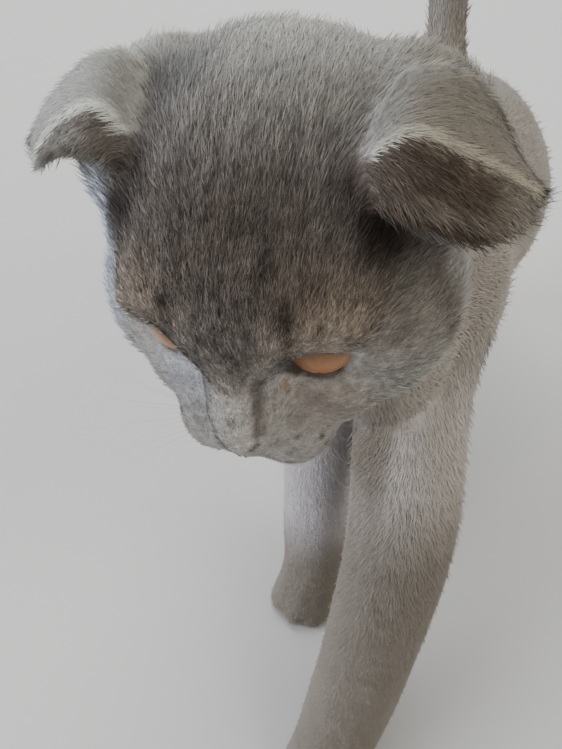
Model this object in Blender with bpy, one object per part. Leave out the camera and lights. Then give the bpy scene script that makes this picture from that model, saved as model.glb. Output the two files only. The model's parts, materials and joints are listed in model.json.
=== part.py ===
"""A Scottish Fold cat, life size, walking with its head low and its tail up.

The left forefoot is stepped forward, the muzzle points down, and the folded ears lie over
the crown. The cat faces -Y, its left side is +X, and it stands on the plane z = 0.

Forms are written in centimetres, in two frames: the body's, and the head's own, in which
the nose points to -Y and the crown to +Z. Flesh is first modelled whole, from lofted
lengths and blobs under one remeshed surface, and then parted with thin cuts.
"""
import math
from typing import NamedTuple

import bmesh
import bpy
from mathutils import Matrix, Vector

CM = 0.01
GAP = 0.0003                        # clearance that touching solids keep, in metres

# Driving sizes of the animal, in centimetres
LEG_THICK = 2.2                     # half thickness of a lower leg, with the coat
PAW_HALF_WIDTH = 2.05
TAIL_HALF = 1.95
EYE_RADIUS = 1.05
EYE_APART = 1.85                    # eye centre from the middle plane
LID_THICK = 0.16
EAR_THICK = 0.30
EAR_BACK_SWELL = Vector((0.20, 0.25, 0.45))
EAR_FLAP_SWELL = Vector((0.05, 0.05, 0.02))

# Where the head is carried: its centre in the body's frame, and how far it bows
HEAD_PLACE = (-2.25, -25.7, 23.85)
HEAD_BOW = 41.0                     # degrees, nose down
HEAD_TURN = 0.8                     # degrees, about the vertical

# Fineness of the modelled flesh
HEAD_VOXEL = 0.0013
BODY_VOXEL = 0.0024
REGION_VOXEL = 0.004
HEAD_TRIANGLES = 3800
BODY_TRIANGLES = 4900
REGION_TRIANGLES = 260

COAT_BLUE = (0.23, 0.225, 0.205, 1.0)
COAT_DARK = (0.15, 0.14, 0.125, 1.0)
COPPER = (0.36, 0.15, 0.045, 1.0)
LEATHER = (0.05, 0.045, 0.048, 1.0)


class Ring(NamedTuple):
    """One station of a loft: its middle, half width across X, half depth across the path."""

    place: tuple
    wide: float
    deep: float


class Blob(NamedTuple):
    """An ellipsoid: its middle, its half sizes, and a turn about X in degrees."""

    place: tuple
    half: tuple
    tilt: float = 0.0


def head_frame():
    """The head's place in the body's frame, in metres."""
    turn = Matrix.Rotation(math.radians(HEAD_TURN), 4, "Z")
    bow = Matrix.Rotation(math.radians(HEAD_BOW), 4, "X")
    return Matrix.Translation(Vector(HEAD_PLACE) * CM) @ turn @ bow


# Forms of the torso and limbs, in the body's frame

TORSO = (
    Ring((0.0, -18.0, 16.6), 3.7, 4.5),
    Ring((0.0, -14.0, 16.7), 5.0, 6.5),
    Ring((0.0, -9.0, 16.7), 5.9, 7.2),
    Ring((0.4, -3.0, 16.0), 6.7, 7.0),
    Ring((1.3, 4.0, 15.8), 8.0, 7.3),
    Ring((1.2, 10.0, 16.9), 7.6, 7.0),
    Ring((0.5, 14.6, 17.4), 6.1, 6.1),
    Ring((0.1, 16.2, 17.8), 4.2, 4.3),
)

# Shoulder blades, loins, haunches and the point of the breast, over the lengths of the trunk
TRUNK = (
    Blob((1.9, -9.6, 20.2), (2.5, 4.4, 3.9), 10.0),
    Blob((3.8, -11.4, 15.6), (2.3, 3.8, 4.6), 24.0),
    Blob((0.0, -16.9, 15.0), (2.8, 3.0, 3.4)),
    Blob((3.3, 12.4, 18.6), (3.5, 5.4, 4.8), -16.0),
    Blob((2.4, 15.4, 16.9), (2.9, 4.0, 4.8)),
    Blob((3.7, 14.8, 13.4), (2.8, 4.1, 4.4)),
)

NECK = (
    Ring((-0.2, -11.0, 18.4), 4.9, 5.4),
    Ring((-0.8, -16.0, 20.6), 4.7, 5.0),
    Ring((-1.7, -20.5, 22.6), 4.2, 4.5),
    Ring((-2.2, -24.5, 24.0), 4.0, 4.2),
)

TAIL = (
    Ring((0.0, 17.2, 20.0), 2.5, 2.6),
    Ring((-0.4, 20.2, 22.4), 2.1, 2.15),
    Ring((-1.0, 21.9, 26.0), TAIL_HALF, TAIL_HALF),
    Ring((-1.3, 22.4, 31.0), TAIL_HALF, TAIL_HALF),
    Ring((-1.3, 21.9, 36.0), 1.9, 1.9),
    Ring((-1.1, 20.6, 40.5), 1.7, 1.7),
    Ring((-0.8, 18.9, 43.6), 1.35, 1.35),
)

# Each leg runs from its shoulder or hip to its wrist or hock, and ends in a paw

FORELEG = {
    "left": (
        Ring((2.9, -12.8, 18.2), 2.9, 4.4),
        Ring((2.4, -14.4, 15.0), 2.85, 3.8),
        Ring((2.05, -16.8, 11.8), 2.95, 3.1),
        Ring((2.65, -21.2, 7.6), 1.22 * LEG_THICK, 2.4),
        Ring((2.05, -25.6, 3.8), LEG_THICK, 1.95),
        Ring((1.5, -27.8, 1.7), 0.91 * LEG_THICK, 1.7),
    ),
    "right": (
        Ring((-3.0, -12.4, 18.2), 2.9, 4.4),
        Ring((-3.1, -13.0, 15.0), 3.2, 3.8),
        Ring((-3.0, -13.4, 11.8), 2.9, 3.0),
        Ring((-2.7, -15.7, 7.4), 1.02 * LEG_THICK, 2.3),
        Ring((-2.35, -18.1, 3.6), 0.9 * LEG_THICK, 1.9),
        Ring((-2.0, -19.2, 1.7), 0.86 * LEG_THICK, 1.7),
    ),
}

HINDLEG = {
    "left": (
        Ring((3.5, 13.0, 17.4), 3.6, 5.8),
        Ring((4.3, 13.6, 13.6), 3.4, 5.2),
        Ring((4.7, 14.4, 10.4), 2.9, 3.9),
        Ring((4.5, 16.4, 7.7), 2.15, 2.7),
        Ring((4.2, 19.0, 5.5), 1.75, 1.9),
        Ring((4.1, 18.6, 3.2), 1.75, 1.7),
        Ring((4.0, 17.2, 1.6), 1.75, 1.6),
    ),
    "right": (
        Ring((-3.5, 12.8, 17.4), 3.6, 5.8),
        Ring((-4.3, 12.4, 13.6), 3.4, 5.4),
        Ring((-4.7, 11.4, 10.4), 2.9, 4.2),
        Ring((-4.5, 12.1, 7.6), 2.15, 2.8),
        Ring((-4.2, 14.0, 5.3), 1.75, 1.9),
        Ring((-4.1, 13.4, 3.1), 1.75, 1.7),
        Ring((-4.0, 12.0, 1.6), 1.75, 1.6),
    ),
}

# The middle of each paw's sole, and the turn of its toes outwards in degrees
PAWS = {
    "foreleg_left": ((1.2, -29.2, 0.0), -4.0),
    "foreleg_right": ((-1.9, -20.7, 0.0), 4.0),
    "hindleg_left": ((3.9, 15.6, 0.0), -8.0),
    "hindleg_right": ((-3.9, 10.3, 0.0), 8.0),
}

# Forms of the head, in its own frame; those with x above zero are repeated on the other side

SKULL = (
    Blob((0.0, 0.8, 0.6), (4.8, 4.6, 3.9)),
    Blob((0.0, -1.5, 1.2), (3.7, 3.0, 2.6)),
    Blob((2.7, -0.7, -1.2), (2.6, 3.2, 2.7)),
    Blob((0.0, -1.2, -2.3), (2.9, 3.3, 2.0)),
    Blob((0.0, 2.2, -1.6), (3.9, 3.2, 3.2)),
    Blob((2.8, 1.6, 1.8), (2.6, 2.8, 2.1)),
)

FACE = (
    Blob((0.0, -3.7, -0.5), (1.25, 2.4, 1.5), 12.0),
    Blob((0.0, -4.05, 0.75), (0.80, 0.85, 0.95)),
    Blob((1.6, -2.60, 1.85), (1.7, 1.3, 0.95)),
    Blob((1.9, -2.9, -1.3), (1.7, 1.8, 1.5)),
    Blob((1.06, -4.62, -1.95), (1.33, 1.38, 1.2)),
    Blob((0.0, -4.2, -3.3), (1.3, 1.4, 0.95)),
    Blob((0.0, -5.3, -1.35), (0.9, 0.85, 0.8)),
)

EYE_PLACE = (EYE_APART, -2.71, 0.70)
EYE_GAZE = (0.22, -1.0, 0.18)       # the way the lids open
EYE_HALF_WIDTH = 0.92
EYE_OPEN_ABOVE = 0.66               # from the middle of the eye up to the upper lid
EYE_OPEN_BELOW = 0.70
EYE_SLANT = 12.0                    # degrees, outer corner raised

NOSE_PLACE = (0.0, -5.78, -1.45)
NOSE_HALF = (0.58, 0.38, 0.44)
NOSE_NARROWING = 0.45               # how much of its width is lost at its foot
NOSTRIL_PLACE = (0.27, -0.31, -0.10)        # from the middle of the nose
NOSTRIL_HALF = (0.16, 0.20, 0.09)
NOSTRIL_TURN = 28.0

# Mouth: from under the nose down the lip cleft, then out under each whisker pad
MOUTH = ((0.0, -5.9, -2.0), (0.05, -5.85, -2.65), (0.72, -5.48, -3.0),
         (1.45, -4.65, -2.95), (2.05, -3.7, -2.75))
MOUTH_DEPTH = 0.22
MOUTH_REACH = 0.26


class Ear(NamedTuple):
    """A folded ear by its edges, in the head's frame, for an ear on the left side."""

    base: tuple                     # where its back springs from the crown, inner end first
    crease: tuple                   # the fold, from its inner to its outer end
    edge: tuple                     # the free edge of the flap, round its tip


EARS = {
    "left": Ear(
        base=((2.2, 0.0, 3.4), (2.9, 2.6, 3.2), (4.6, 3.1, 1.8), (5.3, 1.1, 0.6)),
        crease=((2.6, -0.2, 3.95), (3.4, 0.25, 4.55), (4.8, 0.4, 4.0), (6.3, 0.45, 2.65)),
        edge=((2.75, -0.8, 3.6), (3.8, -1.3, 3.7), (5.05, -1.3, 3.2), (6.1, -0.25, 2.25)),
    ),
    "right": Ear(
        base=((2.2, 0.0, 3.4), (2.9, 2.6, 3.2), (4.4, 3.0, 1.8), (5.0, 1.0, 0.6)),
        crease=((2.6, 0.1, 3.95), (3.4, 0.55, 4.6), (4.8, 0.65, 4.1), (6.25, 0.6, 2.75)),
        edge=((2.8, -0.55, 3.6), (3.8, -0.45, 3.95), (5.1, -0.35, 3.3), (6.25, 0.05, 2.2)),
    ),
}

# Where the flesh is parted: a point of each cut and its normal, in the body's frame

NECK_CUT = ((-0.5, -15.2, 20.4), (-0.12, -0.70, 0.70))
HEAD_CUT = ((0.0, 2.6, -2.1), (0.0, -0.51, 0.86))          # in the head's frame
TAIL_CUT = ((0.0, 19.0, 21.4), (0.0, 0.60, 0.80))
TAIL_MIDDLE_CUT = ((0.0, 22.2, 33.0), (0.0, 0.0, 1.0))


# Forms of one paw over the middle of its sole: the pads' middles and half sizes, then for
# each toe its reach along Y and its half width
PAW_PADS = (
    ((0.0, 0.7, 1.3), (0.88 * PAW_HALF_WIDTH, 2.0, 1.6)),
    ((0.0, -0.5, 1.1), (0.95 * PAW_HALF_WIDTH, 1.6, 1.4)),
)
TOES = ((-1.1, 0.72), (-1.8, 0.80), (-1.8, 0.80), (-1.1, 0.72))
TOE_SPACING = 0.54 * PAW_HALF_WIDTH
TOE_LONG = 1.15
TOE_RISE = 0.80


def mirrored(place):
    """The same place on the other side of the middle plane."""
    return (-place[0], place[1], place[2])


def through(points, along):
    """The point at a share of the way, 0 to 1, on a smooth curve through the points."""
    last = len(points) - 1
    index = min(int(along * last), last - 1)
    t = along * last - index
    a = Vector(points[max(index - 1, 0)])
    b = Vector(points[index])
    c = Vector(points[index + 1])
    d = Vector(points[min(index + 2, last)])
    return 0.5 * (2.0 * b + (c - a) * t + (2.0 * a - 5.0 * b + 4.0 * c - d) * t * t
                  + (3.0 * b - a - 3.0 * c + d) * t ** 3)


def soft_step(low, high, value):
    """0 below low, 1 above high, and a smooth rise between."""
    t = min(max((value - low) / (high - low), 0.0), 1.0)
    return t * t * (3.0 - 2.0 * t)


def fill_between(mesh, lower, upper):
    """Quads between two closed rings of as many vertices."""
    count = len(lower)
    for index in range(count):
        after = (index + 1) % count
        mesh.faces.new((lower[index], lower[after], upper[after], upper[index]))


def add_loft(mesh, rings, frame=None, sides=20, steps=4):
    """A closed tube through the rings, with domed ends."""
    frame = frame or Matrix.Identity(4)
    count = (len(rings) - 1) * steps
    places = [through([ring.place for ring in rings], i / count) for i in range(count + 1)]
    sizes = [through([(ring.wide, ring.deep, 0.0) for ring in rings], i / count)
             for i in range(count + 1)]
    stations = []
    for i, (place, size) in enumerate(zip(places, sizes)):
        way = (places[min(i + 1, count)] - places[max(i - 1, 0)]).normalized()
        stations.append((place, way, size.x, size.y))
    stations = domed_end(stations[0], -1.0) + stations + domed_end(stations[-1], 1.0)
    loops = []
    for place, way, wide, deep in stations:
        across = (Vector((1.0, 0.0, 0.0)) - way * way.x).normalized()
        over = way.cross(across)
        loop = []
        for k in range(sides):
            angle = math.tau * k / sides
            point = place + across * wide * math.cos(angle) + over * deep * math.sin(angle)
            loop.append(mesh.verts.new(frame @ (point * CM)))
        loops.append(loop)
    for lower, upper in zip(loops, loops[1:]):
        fill_between(mesh, lower, upper)
    mesh.faces.new(reversed(loops[0]))
    mesh.faces.new(loops[-1])


def domed_end(station, side):
    """Stations that round off one end of a loft."""
    place, way, wide, deep = station
    bulge = min(wide, deep)
    ends = []
    for angle in (25.0, 50.0, 75.0):
        lean = math.radians(angle)
        ends.append((place + way * side * bulge * math.sin(lean), way,
                     wide * math.cos(lean), deep * math.cos(lean)))
    return ends if side > 0.0 else ends[::-1]


def add_blob(mesh, blob, frame=None):
    """An ellipsoid, and its mirror image where it lies off the middle plane."""
    frame = frame or Matrix.Identity(4)
    places = [blob.place] if abs(blob.place[0]) < 1e-6 else [blob.place, mirrored(blob.place)]
    for place in places:
        size = Matrix.Diagonal((*(Vector(blob.half) * CM), 1.0))
        turn = Matrix.Rotation(math.radians(blob.tilt), 4, "X")
        matrix = frame @ Matrix.Translation(Vector(place) * CM) @ turn @ size
        bmesh.ops.create_uvsphere(mesh, u_segments=28, v_segments=18, radius=1.0, matrix=matrix)


def add_paw(mesh, sole, turn):
    """A paw of one pad and four toes, its toes toward -Y, a little sunk below the floor."""
    frame = (Matrix.Translation(Vector(sole) * CM)
             @ Matrix.Rotation(math.radians(turn), 4, "Z"))
    forms = list(PAW_PADS)
    for toe, (reach, size) in enumerate(TOES):
        across = (toe - 1.5) * TOE_SPACING
        forms.append(((across, reach, TOE_RISE), (size * 0.86, TOE_LONG, size * 1.25)))
    for place, half in forms:
        matrix = frame @ Matrix.Translation(Vector(place) * CM) @ Matrix.Diagonal(
            (*(Vector(half) * CM), 1.0))
        bmesh.ops.create_uvsphere(mesh, u_segments=20, v_segments=14, radius=1.0, matrix=matrix)


def new_object(name, mesh):
    """An object of a bmesh, which is freed."""
    data = bpy.data.meshes.new(name)
    mesh.to_mesh(data)
    mesh.free()
    thing = bpy.data.objects.new(name, data)
    bpy.context.collection.objects.link(thing)
    return thing


def apply_modifiers(thing):
    """The object's mesh becomes what its modifiers make of it."""
    view = bpy.context.evaluated_depsgraph_get()
    data = bpy.data.meshes.new_from_object(thing.evaluated_get(view))
    thing.modifiers.clear()
    old = thing.data
    thing.data = data
    bpy.data.meshes.remove(old)


def remove(thing):
    """Take a cutter or a guide out of the scene."""
    bpy.data.objects.remove(thing, do_unlink=True)


def tidy_mesh(thing):
    """Keep the largest closed surface, in clean triangles."""
    mesh = bmesh.new()
    mesh.from_mesh(thing.data)
    bmesh.ops.remove_doubles(mesh, verts=mesh.verts, dist=1e-5)
    bmesh.ops.dissolve_degenerate(mesh, dist=1e-5, edges=mesh.edges)
    bmesh.ops.triangulate(mesh, faces=mesh.faces)
    seen = set()
    shells = []
    for start in mesh.verts:
        if start in seen:
            continue
        shell = []
        front = [start]
        seen.add(start)
        while front:
            vert = front.pop()
            shell.append(vert)
            for edge in vert.link_edges:
                other = edge.other_vert(vert)
                if other not in seen:
                    seen.add(other)
                    front.append(other)
        shells.append(shell)
    shells.sort(key=len)
    for shell in shells[:-1]:
        bmesh.ops.delete(mesh, geom=shell, context="VERTS")
    bmesh.ops.recalc_face_normals(mesh, faces=mesh.faces)
    mesh.to_mesh(thing.data)
    mesh.free()


def combine(thing, cutter, operation, keep_cutter=False):
    """One Boolean of two closed meshes, applied."""
    boolean = thing.modifiers.new("combine", "BOOLEAN")
    boolean.operation = operation
    boolean.object = cutter
    apply_modifiers(thing)
    if not keep_cutter:
        remove(cutter)
    tidy_mesh(thing)


def slice_off(thing, point, normal):
    """Keep the side of a plane that its normal points away from, with a flat cap."""
    mesh = bmesh.new()
    mesh.from_mesh(thing.data)
    cut = bmesh.ops.bisect_plane(mesh, geom=mesh.verts[:] + mesh.edges[:] + mesh.faces[:],
                                 dist=1e-6, plane_co=point, plane_no=normal, clear_outer=True)
    rim = [item for item in cut["geom_cut"] if isinstance(item, bmesh.types.BMEdge)]
    bmesh.ops.holes_fill(mesh, edges=rim)
    mesh.to_mesh(thing.data)
    mesh.free()
    tidy_mesh(thing)


def copy_of(thing, name):
    """A second object with its own mesh."""
    twin = thing.copy()
    twin.data = thing.data.copy()
    twin.name = name
    bpy.context.collection.objects.link(twin)
    return twin


def grown(thing, by):
    """A copy whose surface stands further out, for cutting a neighbour clear."""
    twin = copy_of(thing, thing.name + "_grown")
    normals = [vert.normal.copy() for vert in twin.data.vertices]
    for vert, normal in zip(twin.data.vertices, normals):
        vert.co += normal * by
    return twin


def one_surface(thing, voxel, rounds):
    """Joined bodies become one remeshed surface, with its hollows softened."""
    remesh = thing.modifiers.new("remesh", "REMESH")
    remesh.mode = "VOXEL"
    remesh.voxel_size = voxel
    smooth = thing.modifiers.new("smooth", "SMOOTH")
    smooth.factor = 0.5
    smooth.iterations = rounds
    apply_modifiers(thing)


def thin_out(thing, triangles):
    """Fewer triangles, most of them where the surface bends."""
    mesh = bmesh.new()
    mesh.from_mesh(thing.data)
    bmesh.ops.triangulate(mesh, faces=mesh.faces)
    mesh.to_mesh(thing.data)
    mesh.free()
    decimate = thing.modifiers.new("thin", "DECIMATE")
    decimate.ratio = triangles / len(thing.data.polygons)
    apply_modifiers(thing)
    tidy_mesh(thing)


def finish(thing, name, colour, roughness=0.9):
    """Give a node its name and its material."""
    thing.name = name
    thing.data.name = name
    material = bpy.data.materials.new(name)
    material.use_nodes = True
    shader = material.node_tree.nodes["Principled BSDF"]
    shader.inputs["Base Color"].default_value = colour
    shader.inputs["Roughness"].default_value = roughness
    thing.data.materials.clear()
    thing.data.materials.append(material)
    return thing


def model_body():
    """Torso, neck, limbs and tail as one flesh, with the rear of the head."""
    mesh = bmesh.new()
    add_loft(mesh, TORSO, sides=32)
    add_loft(mesh, NECK, sides=28)
    add_loft(mesh, TAIL)
    for blob in TRUNK:
        add_blob(mesh, blob)
    for side in ("left", "right"):
        add_loft(mesh, FORELEG[side])
        add_loft(mesh, HINDLEG[side])
    for sole, turn in PAWS.values():
        add_paw(mesh, sole, turn)
    for blob in SKULL:
        add_blob(mesh, blob, head_frame())
    body = new_object("body", mesh)
    one_surface(body, BODY_VOXEL, 14)
    thin_out(body, BODY_TRIANGLES)
    slice_off(body, (0.0, 0.0, 0.0), (0.0, 0.0, -1.0))
    return body


def model_head():
    """The head's flesh in its own frame, without its openings."""
    mesh = bmesh.new()
    for blob in SKULL + FACE:
        add_blob(mesh, blob)
    add_loft(mesh, NECK, frame=head_frame().inverted(), sides=28)
    head = new_object("head", mesh)
    one_surface(head, HEAD_VOXEL, 12)
    shape_face(head)
    return head


def shape_face(head):
    """Lids over each eyeball, the hollow before the eye, and the line of the mouth."""
    lips = [through(MOUTH, i / 24) for i in range(25)]
    normals = [vert.normal.copy() for vert in head.data.vertices]
    for vert, normal in zip(head.data.vertices, normals):
        place = vert.co / CM
        side = 1.0 if place.x >= 0.0 else -1.0
        place.x *= side
        lid = EYE_RADIUS + LID_THICK
        ray = place - Vector(EYE_PLACE)
        lean = math.degrees(ray.angle(Vector(EYE_GAZE).normalized(), 3.0))
        held = (1.0 - soft_step(34.0, 60.0, lean)) * (1.0 - soft_step(1.7, 2.3, ray.length))
        place = Vector(EYE_PLACE) + ray.normalized() * (ray.length + (lid - ray.length) * held)
        near = min((place - lip).length for lip in lips)
        sink = MOUTH_DEPTH * (1.0 - soft_step(0.0, MOUTH_REACH, near))
        normal.x *= side
        place -= normal * sink
        place.x *= side
        vert.co = place * CM
    head.data.update()


def eye_frame(side):
    """The eyeball's place and the way it looks, +Z out of the eye, in the head's frame."""
    gaze = Vector(EYE_GAZE).normalized()
    out = Matrix.Rotation(math.radians(-EYE_SLANT), 4, "Z")
    turn = gaze.to_track_quat("Z", "Y").to_matrix().to_4x4()
    frame = Matrix.Translation(Vector(EYE_PLACE) * CM) @ turn @ out
    if side == "right":
        flip = Matrix.Diagonal((-1.0, 1.0, 1.0, 1.0))
        frame = flip @ frame @ flip
    return frame


def eyeball(name, frame, radius, sides=18, rings=11):
    """A ball in the eye's frame."""
    mesh = bmesh.new()
    bmesh.ops.create_uvsphere(mesh, u_segments=sides, v_segments=rings, radius=radius,
                              matrix=frame)
    return new_object(name, mesh)


def lid_opening(frame):
    """The almond-shaped cutter that opens the lids."""
    mesh = bmesh.new()
    outline = []
    steps = 9
    for half in (1.0, -1.0):
        for i in range(steps):
            x = EYE_HALF_WIDTH * math.cos(math.pi * i / steps) * half
            open_to = EYE_OPEN_ABOVE if half > 0.0 else -EYE_OPEN_BELOW
            y = open_to * math.sin(math.pi * i / steps) ** 0.85
            outline.append((x, y))
    rings = []
    for depth, scale in ((0.30, 0.94), (1.8, 1.12)):
        rings.append([mesh.verts.new(frame @ (Vector((x * scale, y * scale, depth)) * CM))
                      for x, y in outline])
    fill_between(mesh, *rings)
    mesh.faces.new(reversed(rings[0]))
    mesh.faces.new(rings[1])
    return new_object("lid_opening", mesh)


def open_eyes(head):
    """Cut a socket and the opening of the lids for each eye."""
    for side in ("left", "right"):
        frame = eye_frame(side)
        socket = eyeball("socket", frame, EYE_RADIUS * CM + GAP)
        combine(socket, lid_opening(frame), "UNION")
        combine(head, socket, "DIFFERENCE")


def nose_leather():
    """The nose leather: a rounded heart of bare skin with two nostrils."""
    mesh = bmesh.new()
    size = Matrix.Diagonal((*(Vector(NOSE_HALF) * CM), 1.0))
    bmesh.ops.create_uvsphere(mesh, u_segments=14, v_segments=9, radius=1.0, matrix=size)
    for vert in mesh.verts:
        drop = soft_step(-0.1, NOSE_HALF[2], -vert.co.z / CM)
        vert.co.x *= 1.0 - NOSE_NARROWING * drop
        vert.co.y += 0.10 * CM * drop
    bmesh.ops.translate(mesh, verts=mesh.verts, vec=Vector(NOSE_PLACE) * CM)
    nose = new_object("nose", mesh)
    for side in (1.0, -1.0):
        mesh = bmesh.new()
        across, forward, up = NOSTRIL_PLACE
        place = Vector(NOSE_PLACE) + Vector((across * side, forward, up))
        turn = Matrix.Rotation(math.radians(NOSTRIL_TURN * side), 4, "Y")
        size = Matrix.Diagonal((*(Vector(NOSTRIL_HALF) * CM), 1.0))
        matrix = Matrix.Translation(place * CM) @ turn @ size
        bmesh.ops.create_uvsphere(mesh, u_segments=8, v_segments=6, radius=1.0, matrix=matrix)
        combine(nose, new_object("nostril", mesh), "DIFFERENCE")
    return nose


def ear_shell(side, across=10, back_steps=5, flap_steps=4):
    """A folded ear as a bent sheet with a wall, in the head's frame."""
    ear = EARS[side]
    mesh = bmesh.new()
    rows = []
    for i in range(across + 1):
        u = i / across
        base = through(ear.base, u)
        crease = through(ear.crease, u)
        edge = through(ear.edge, u)
        arch = math.sin(math.pi * u)
        row = []
        for start, end, swell, steps in ((base, crease, EAR_BACK_SWELL, back_steps),
                                         (crease, edge, EAR_FLAP_SWELL, flap_steps)):
            for j in range(0 if start is base else 1, steps + 1):
                lift = swell * arch * math.sin(math.pi * j / steps)
                row.append(mesh.verts.new((start.lerp(end, j / steps) + lift) * CM))
        rows.append(row)
    for lower, upper in zip(rows, rows[1:]):
        for j in range(len(lower) - 1):
            mesh.faces.new((lower[j], lower[j + 1], upper[j + 1], upper[j]))
    shell = new_object("ear", mesh)
    wall = shell.modifiers.new("wall", "SOLIDIFY")
    wall.thickness = EAR_THICK * CM
    wall.offset = 0.0
    apply_modifiers(shell)
    if side == "right":
        shell.data.transform(Matrix.Diagonal((-1.0, 1.0, 1.0, 1.0)))
    tidy_mesh(shell)
    return shell


def model_ears(head):
    """Both ears, each cut clear of the head it grows from."""
    ears = []
    for side in ("left", "right"):
        shell = ear_shell(side)
        combine(shell, grown(head, GAP), "DIFFERENCE")
        ears.append(finish(shell, "ear_" + side, COAT_DARK))
    return ears


def limb_region(name, rings, swell, top):
    """A generous loft round one limb that says where it parts from the trunk."""
    mesh = bmesh.new()
    wider = [Ring(ring.place, ring.wide * swell, ring.deep * swell) for ring in rings[top:]]
    last = wider[-1].place
    wider.append(Ring((last[0], last[1] - 1.5, -2.5), 3.4, 5.0))
    add_loft(mesh, wider, sides=18, steps=2)
    region = new_object(name, mesh)
    one_surface(region, REGION_VOXEL, 6)
    thin_out(region, REGION_TRIANGLES)
    return region


def part_legs(body):
    """Take the four legs off the body, each as a node of its own."""
    legs = []
    for name in PAWS:
        limb, side = name.split("_")
        rings = (FORELEG if limb == "foreleg" else HINDLEG)[side]
        region = limb_region(name + "_region", rings, 1.14, 1)
        leg = copy_of(body, name)
        combine(leg, region, "INTERSECT", keep_cutter=True)
        combine(body, grown(region, GAP), "DIFFERENCE")
        remove(region)
        legs.append(finish(leg, name, COAT_BLUE))
    return legs


def part_by_plane(thing, point, normal):
    """Cut in two with a thin gap: what the normal points to is returned as a new object."""
    point, normal = Vector(point), Vector(normal).normalized()
    beyond = copy_of(thing, thing.name + "_beyond")
    slice_off(beyond, point + normal * GAP, -normal)
    slice_off(thing, point, normal)
    return beyond


def main():
    for thing in list(bpy.data.objects):
        bpy.data.objects.remove(thing, do_unlink=True)
    frame = head_frame()
    nodes = []

    head = model_head()
    cut, way = HEAD_CUT
    way = Vector(way).normalized()
    slice_off(head, Vector(cut) * CM + way * GAP, -way)
    thin_out(head, HEAD_TRIANGLES)
    open_eyes(head)
    nose = nose_leather()
    combine(head, grown(nose, GAP), "DIFFERENCE")
    nodes += model_ears(head)
    nodes += [finish(head, "head", COAT_BLUE), finish(nose, "nose", LEATHER, 0.5)]
    for side in ("left", "right"):
        ball = eyeball("eye_" + side, eye_frame(side), EYE_RADIUS * CM)
        nodes.append(finish(ball, "eye_" + side, COPPER, 0.1))
    for node in nodes:
        node.data.transform(frame)

    body = model_body()
    nodes += part_legs(body)
    tail = part_by_plane(body, Vector(TAIL_CUT[0]) * CM, TAIL_CUT[1])
    tip = part_by_plane(tail, Vector(TAIL_MIDDLE_CUT[0]) * CM, TAIL_MIDDLE_CUT[1])
    neck = part_by_plane(body, Vector(NECK_CUT[0]) * CM, NECK_CUT[1])
    part_by = frame.to_3x3() @ way
    slice_off(neck, frame @ (Vector(cut) * CM), part_by)
    nodes += [finish(body, "torso", COAT_BLUE), finish(neck, "neck", COAT_BLUE),
              finish(tail, "tail_root", COAT_BLUE), finish(tip, "tail_tip", COAT_BLUE)]
    centre_on_floor(nodes)


def centre_on_floor(nodes):
    """Move the whole cat so that the middle of its bounding box stands over the origin."""
    points = [vert.co for node in nodes for vert in node.data.vertices]
    middle = [(min(p[axis] for p in points) + max(p[axis] for p in points)) / 2.0
              for axis in (0, 1)]
    for node in nodes:
        node.data.transform(Matrix.Translation((-middle[0], -middle[1], 0.0)))


if __name__ == "__main__":
    main()
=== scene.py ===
"""The looks of a life-size Scottish Fold cat: skin, coat, eyes, lids, nose and whiskers.

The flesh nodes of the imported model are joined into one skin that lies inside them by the
depth of the coat. The coat is modelled as many thin closed tufts rooted in that skin, and
their tips come out to the solids' surface. Places on the head are written in centimetres in
the head's own frame, where the nose points to -Y and the crown to +Z, and places on the
body in centimetres from the body's own origin.
"""

import json
import logging
import math
from dataclasses import dataclass, field
from enum import Enum

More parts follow.
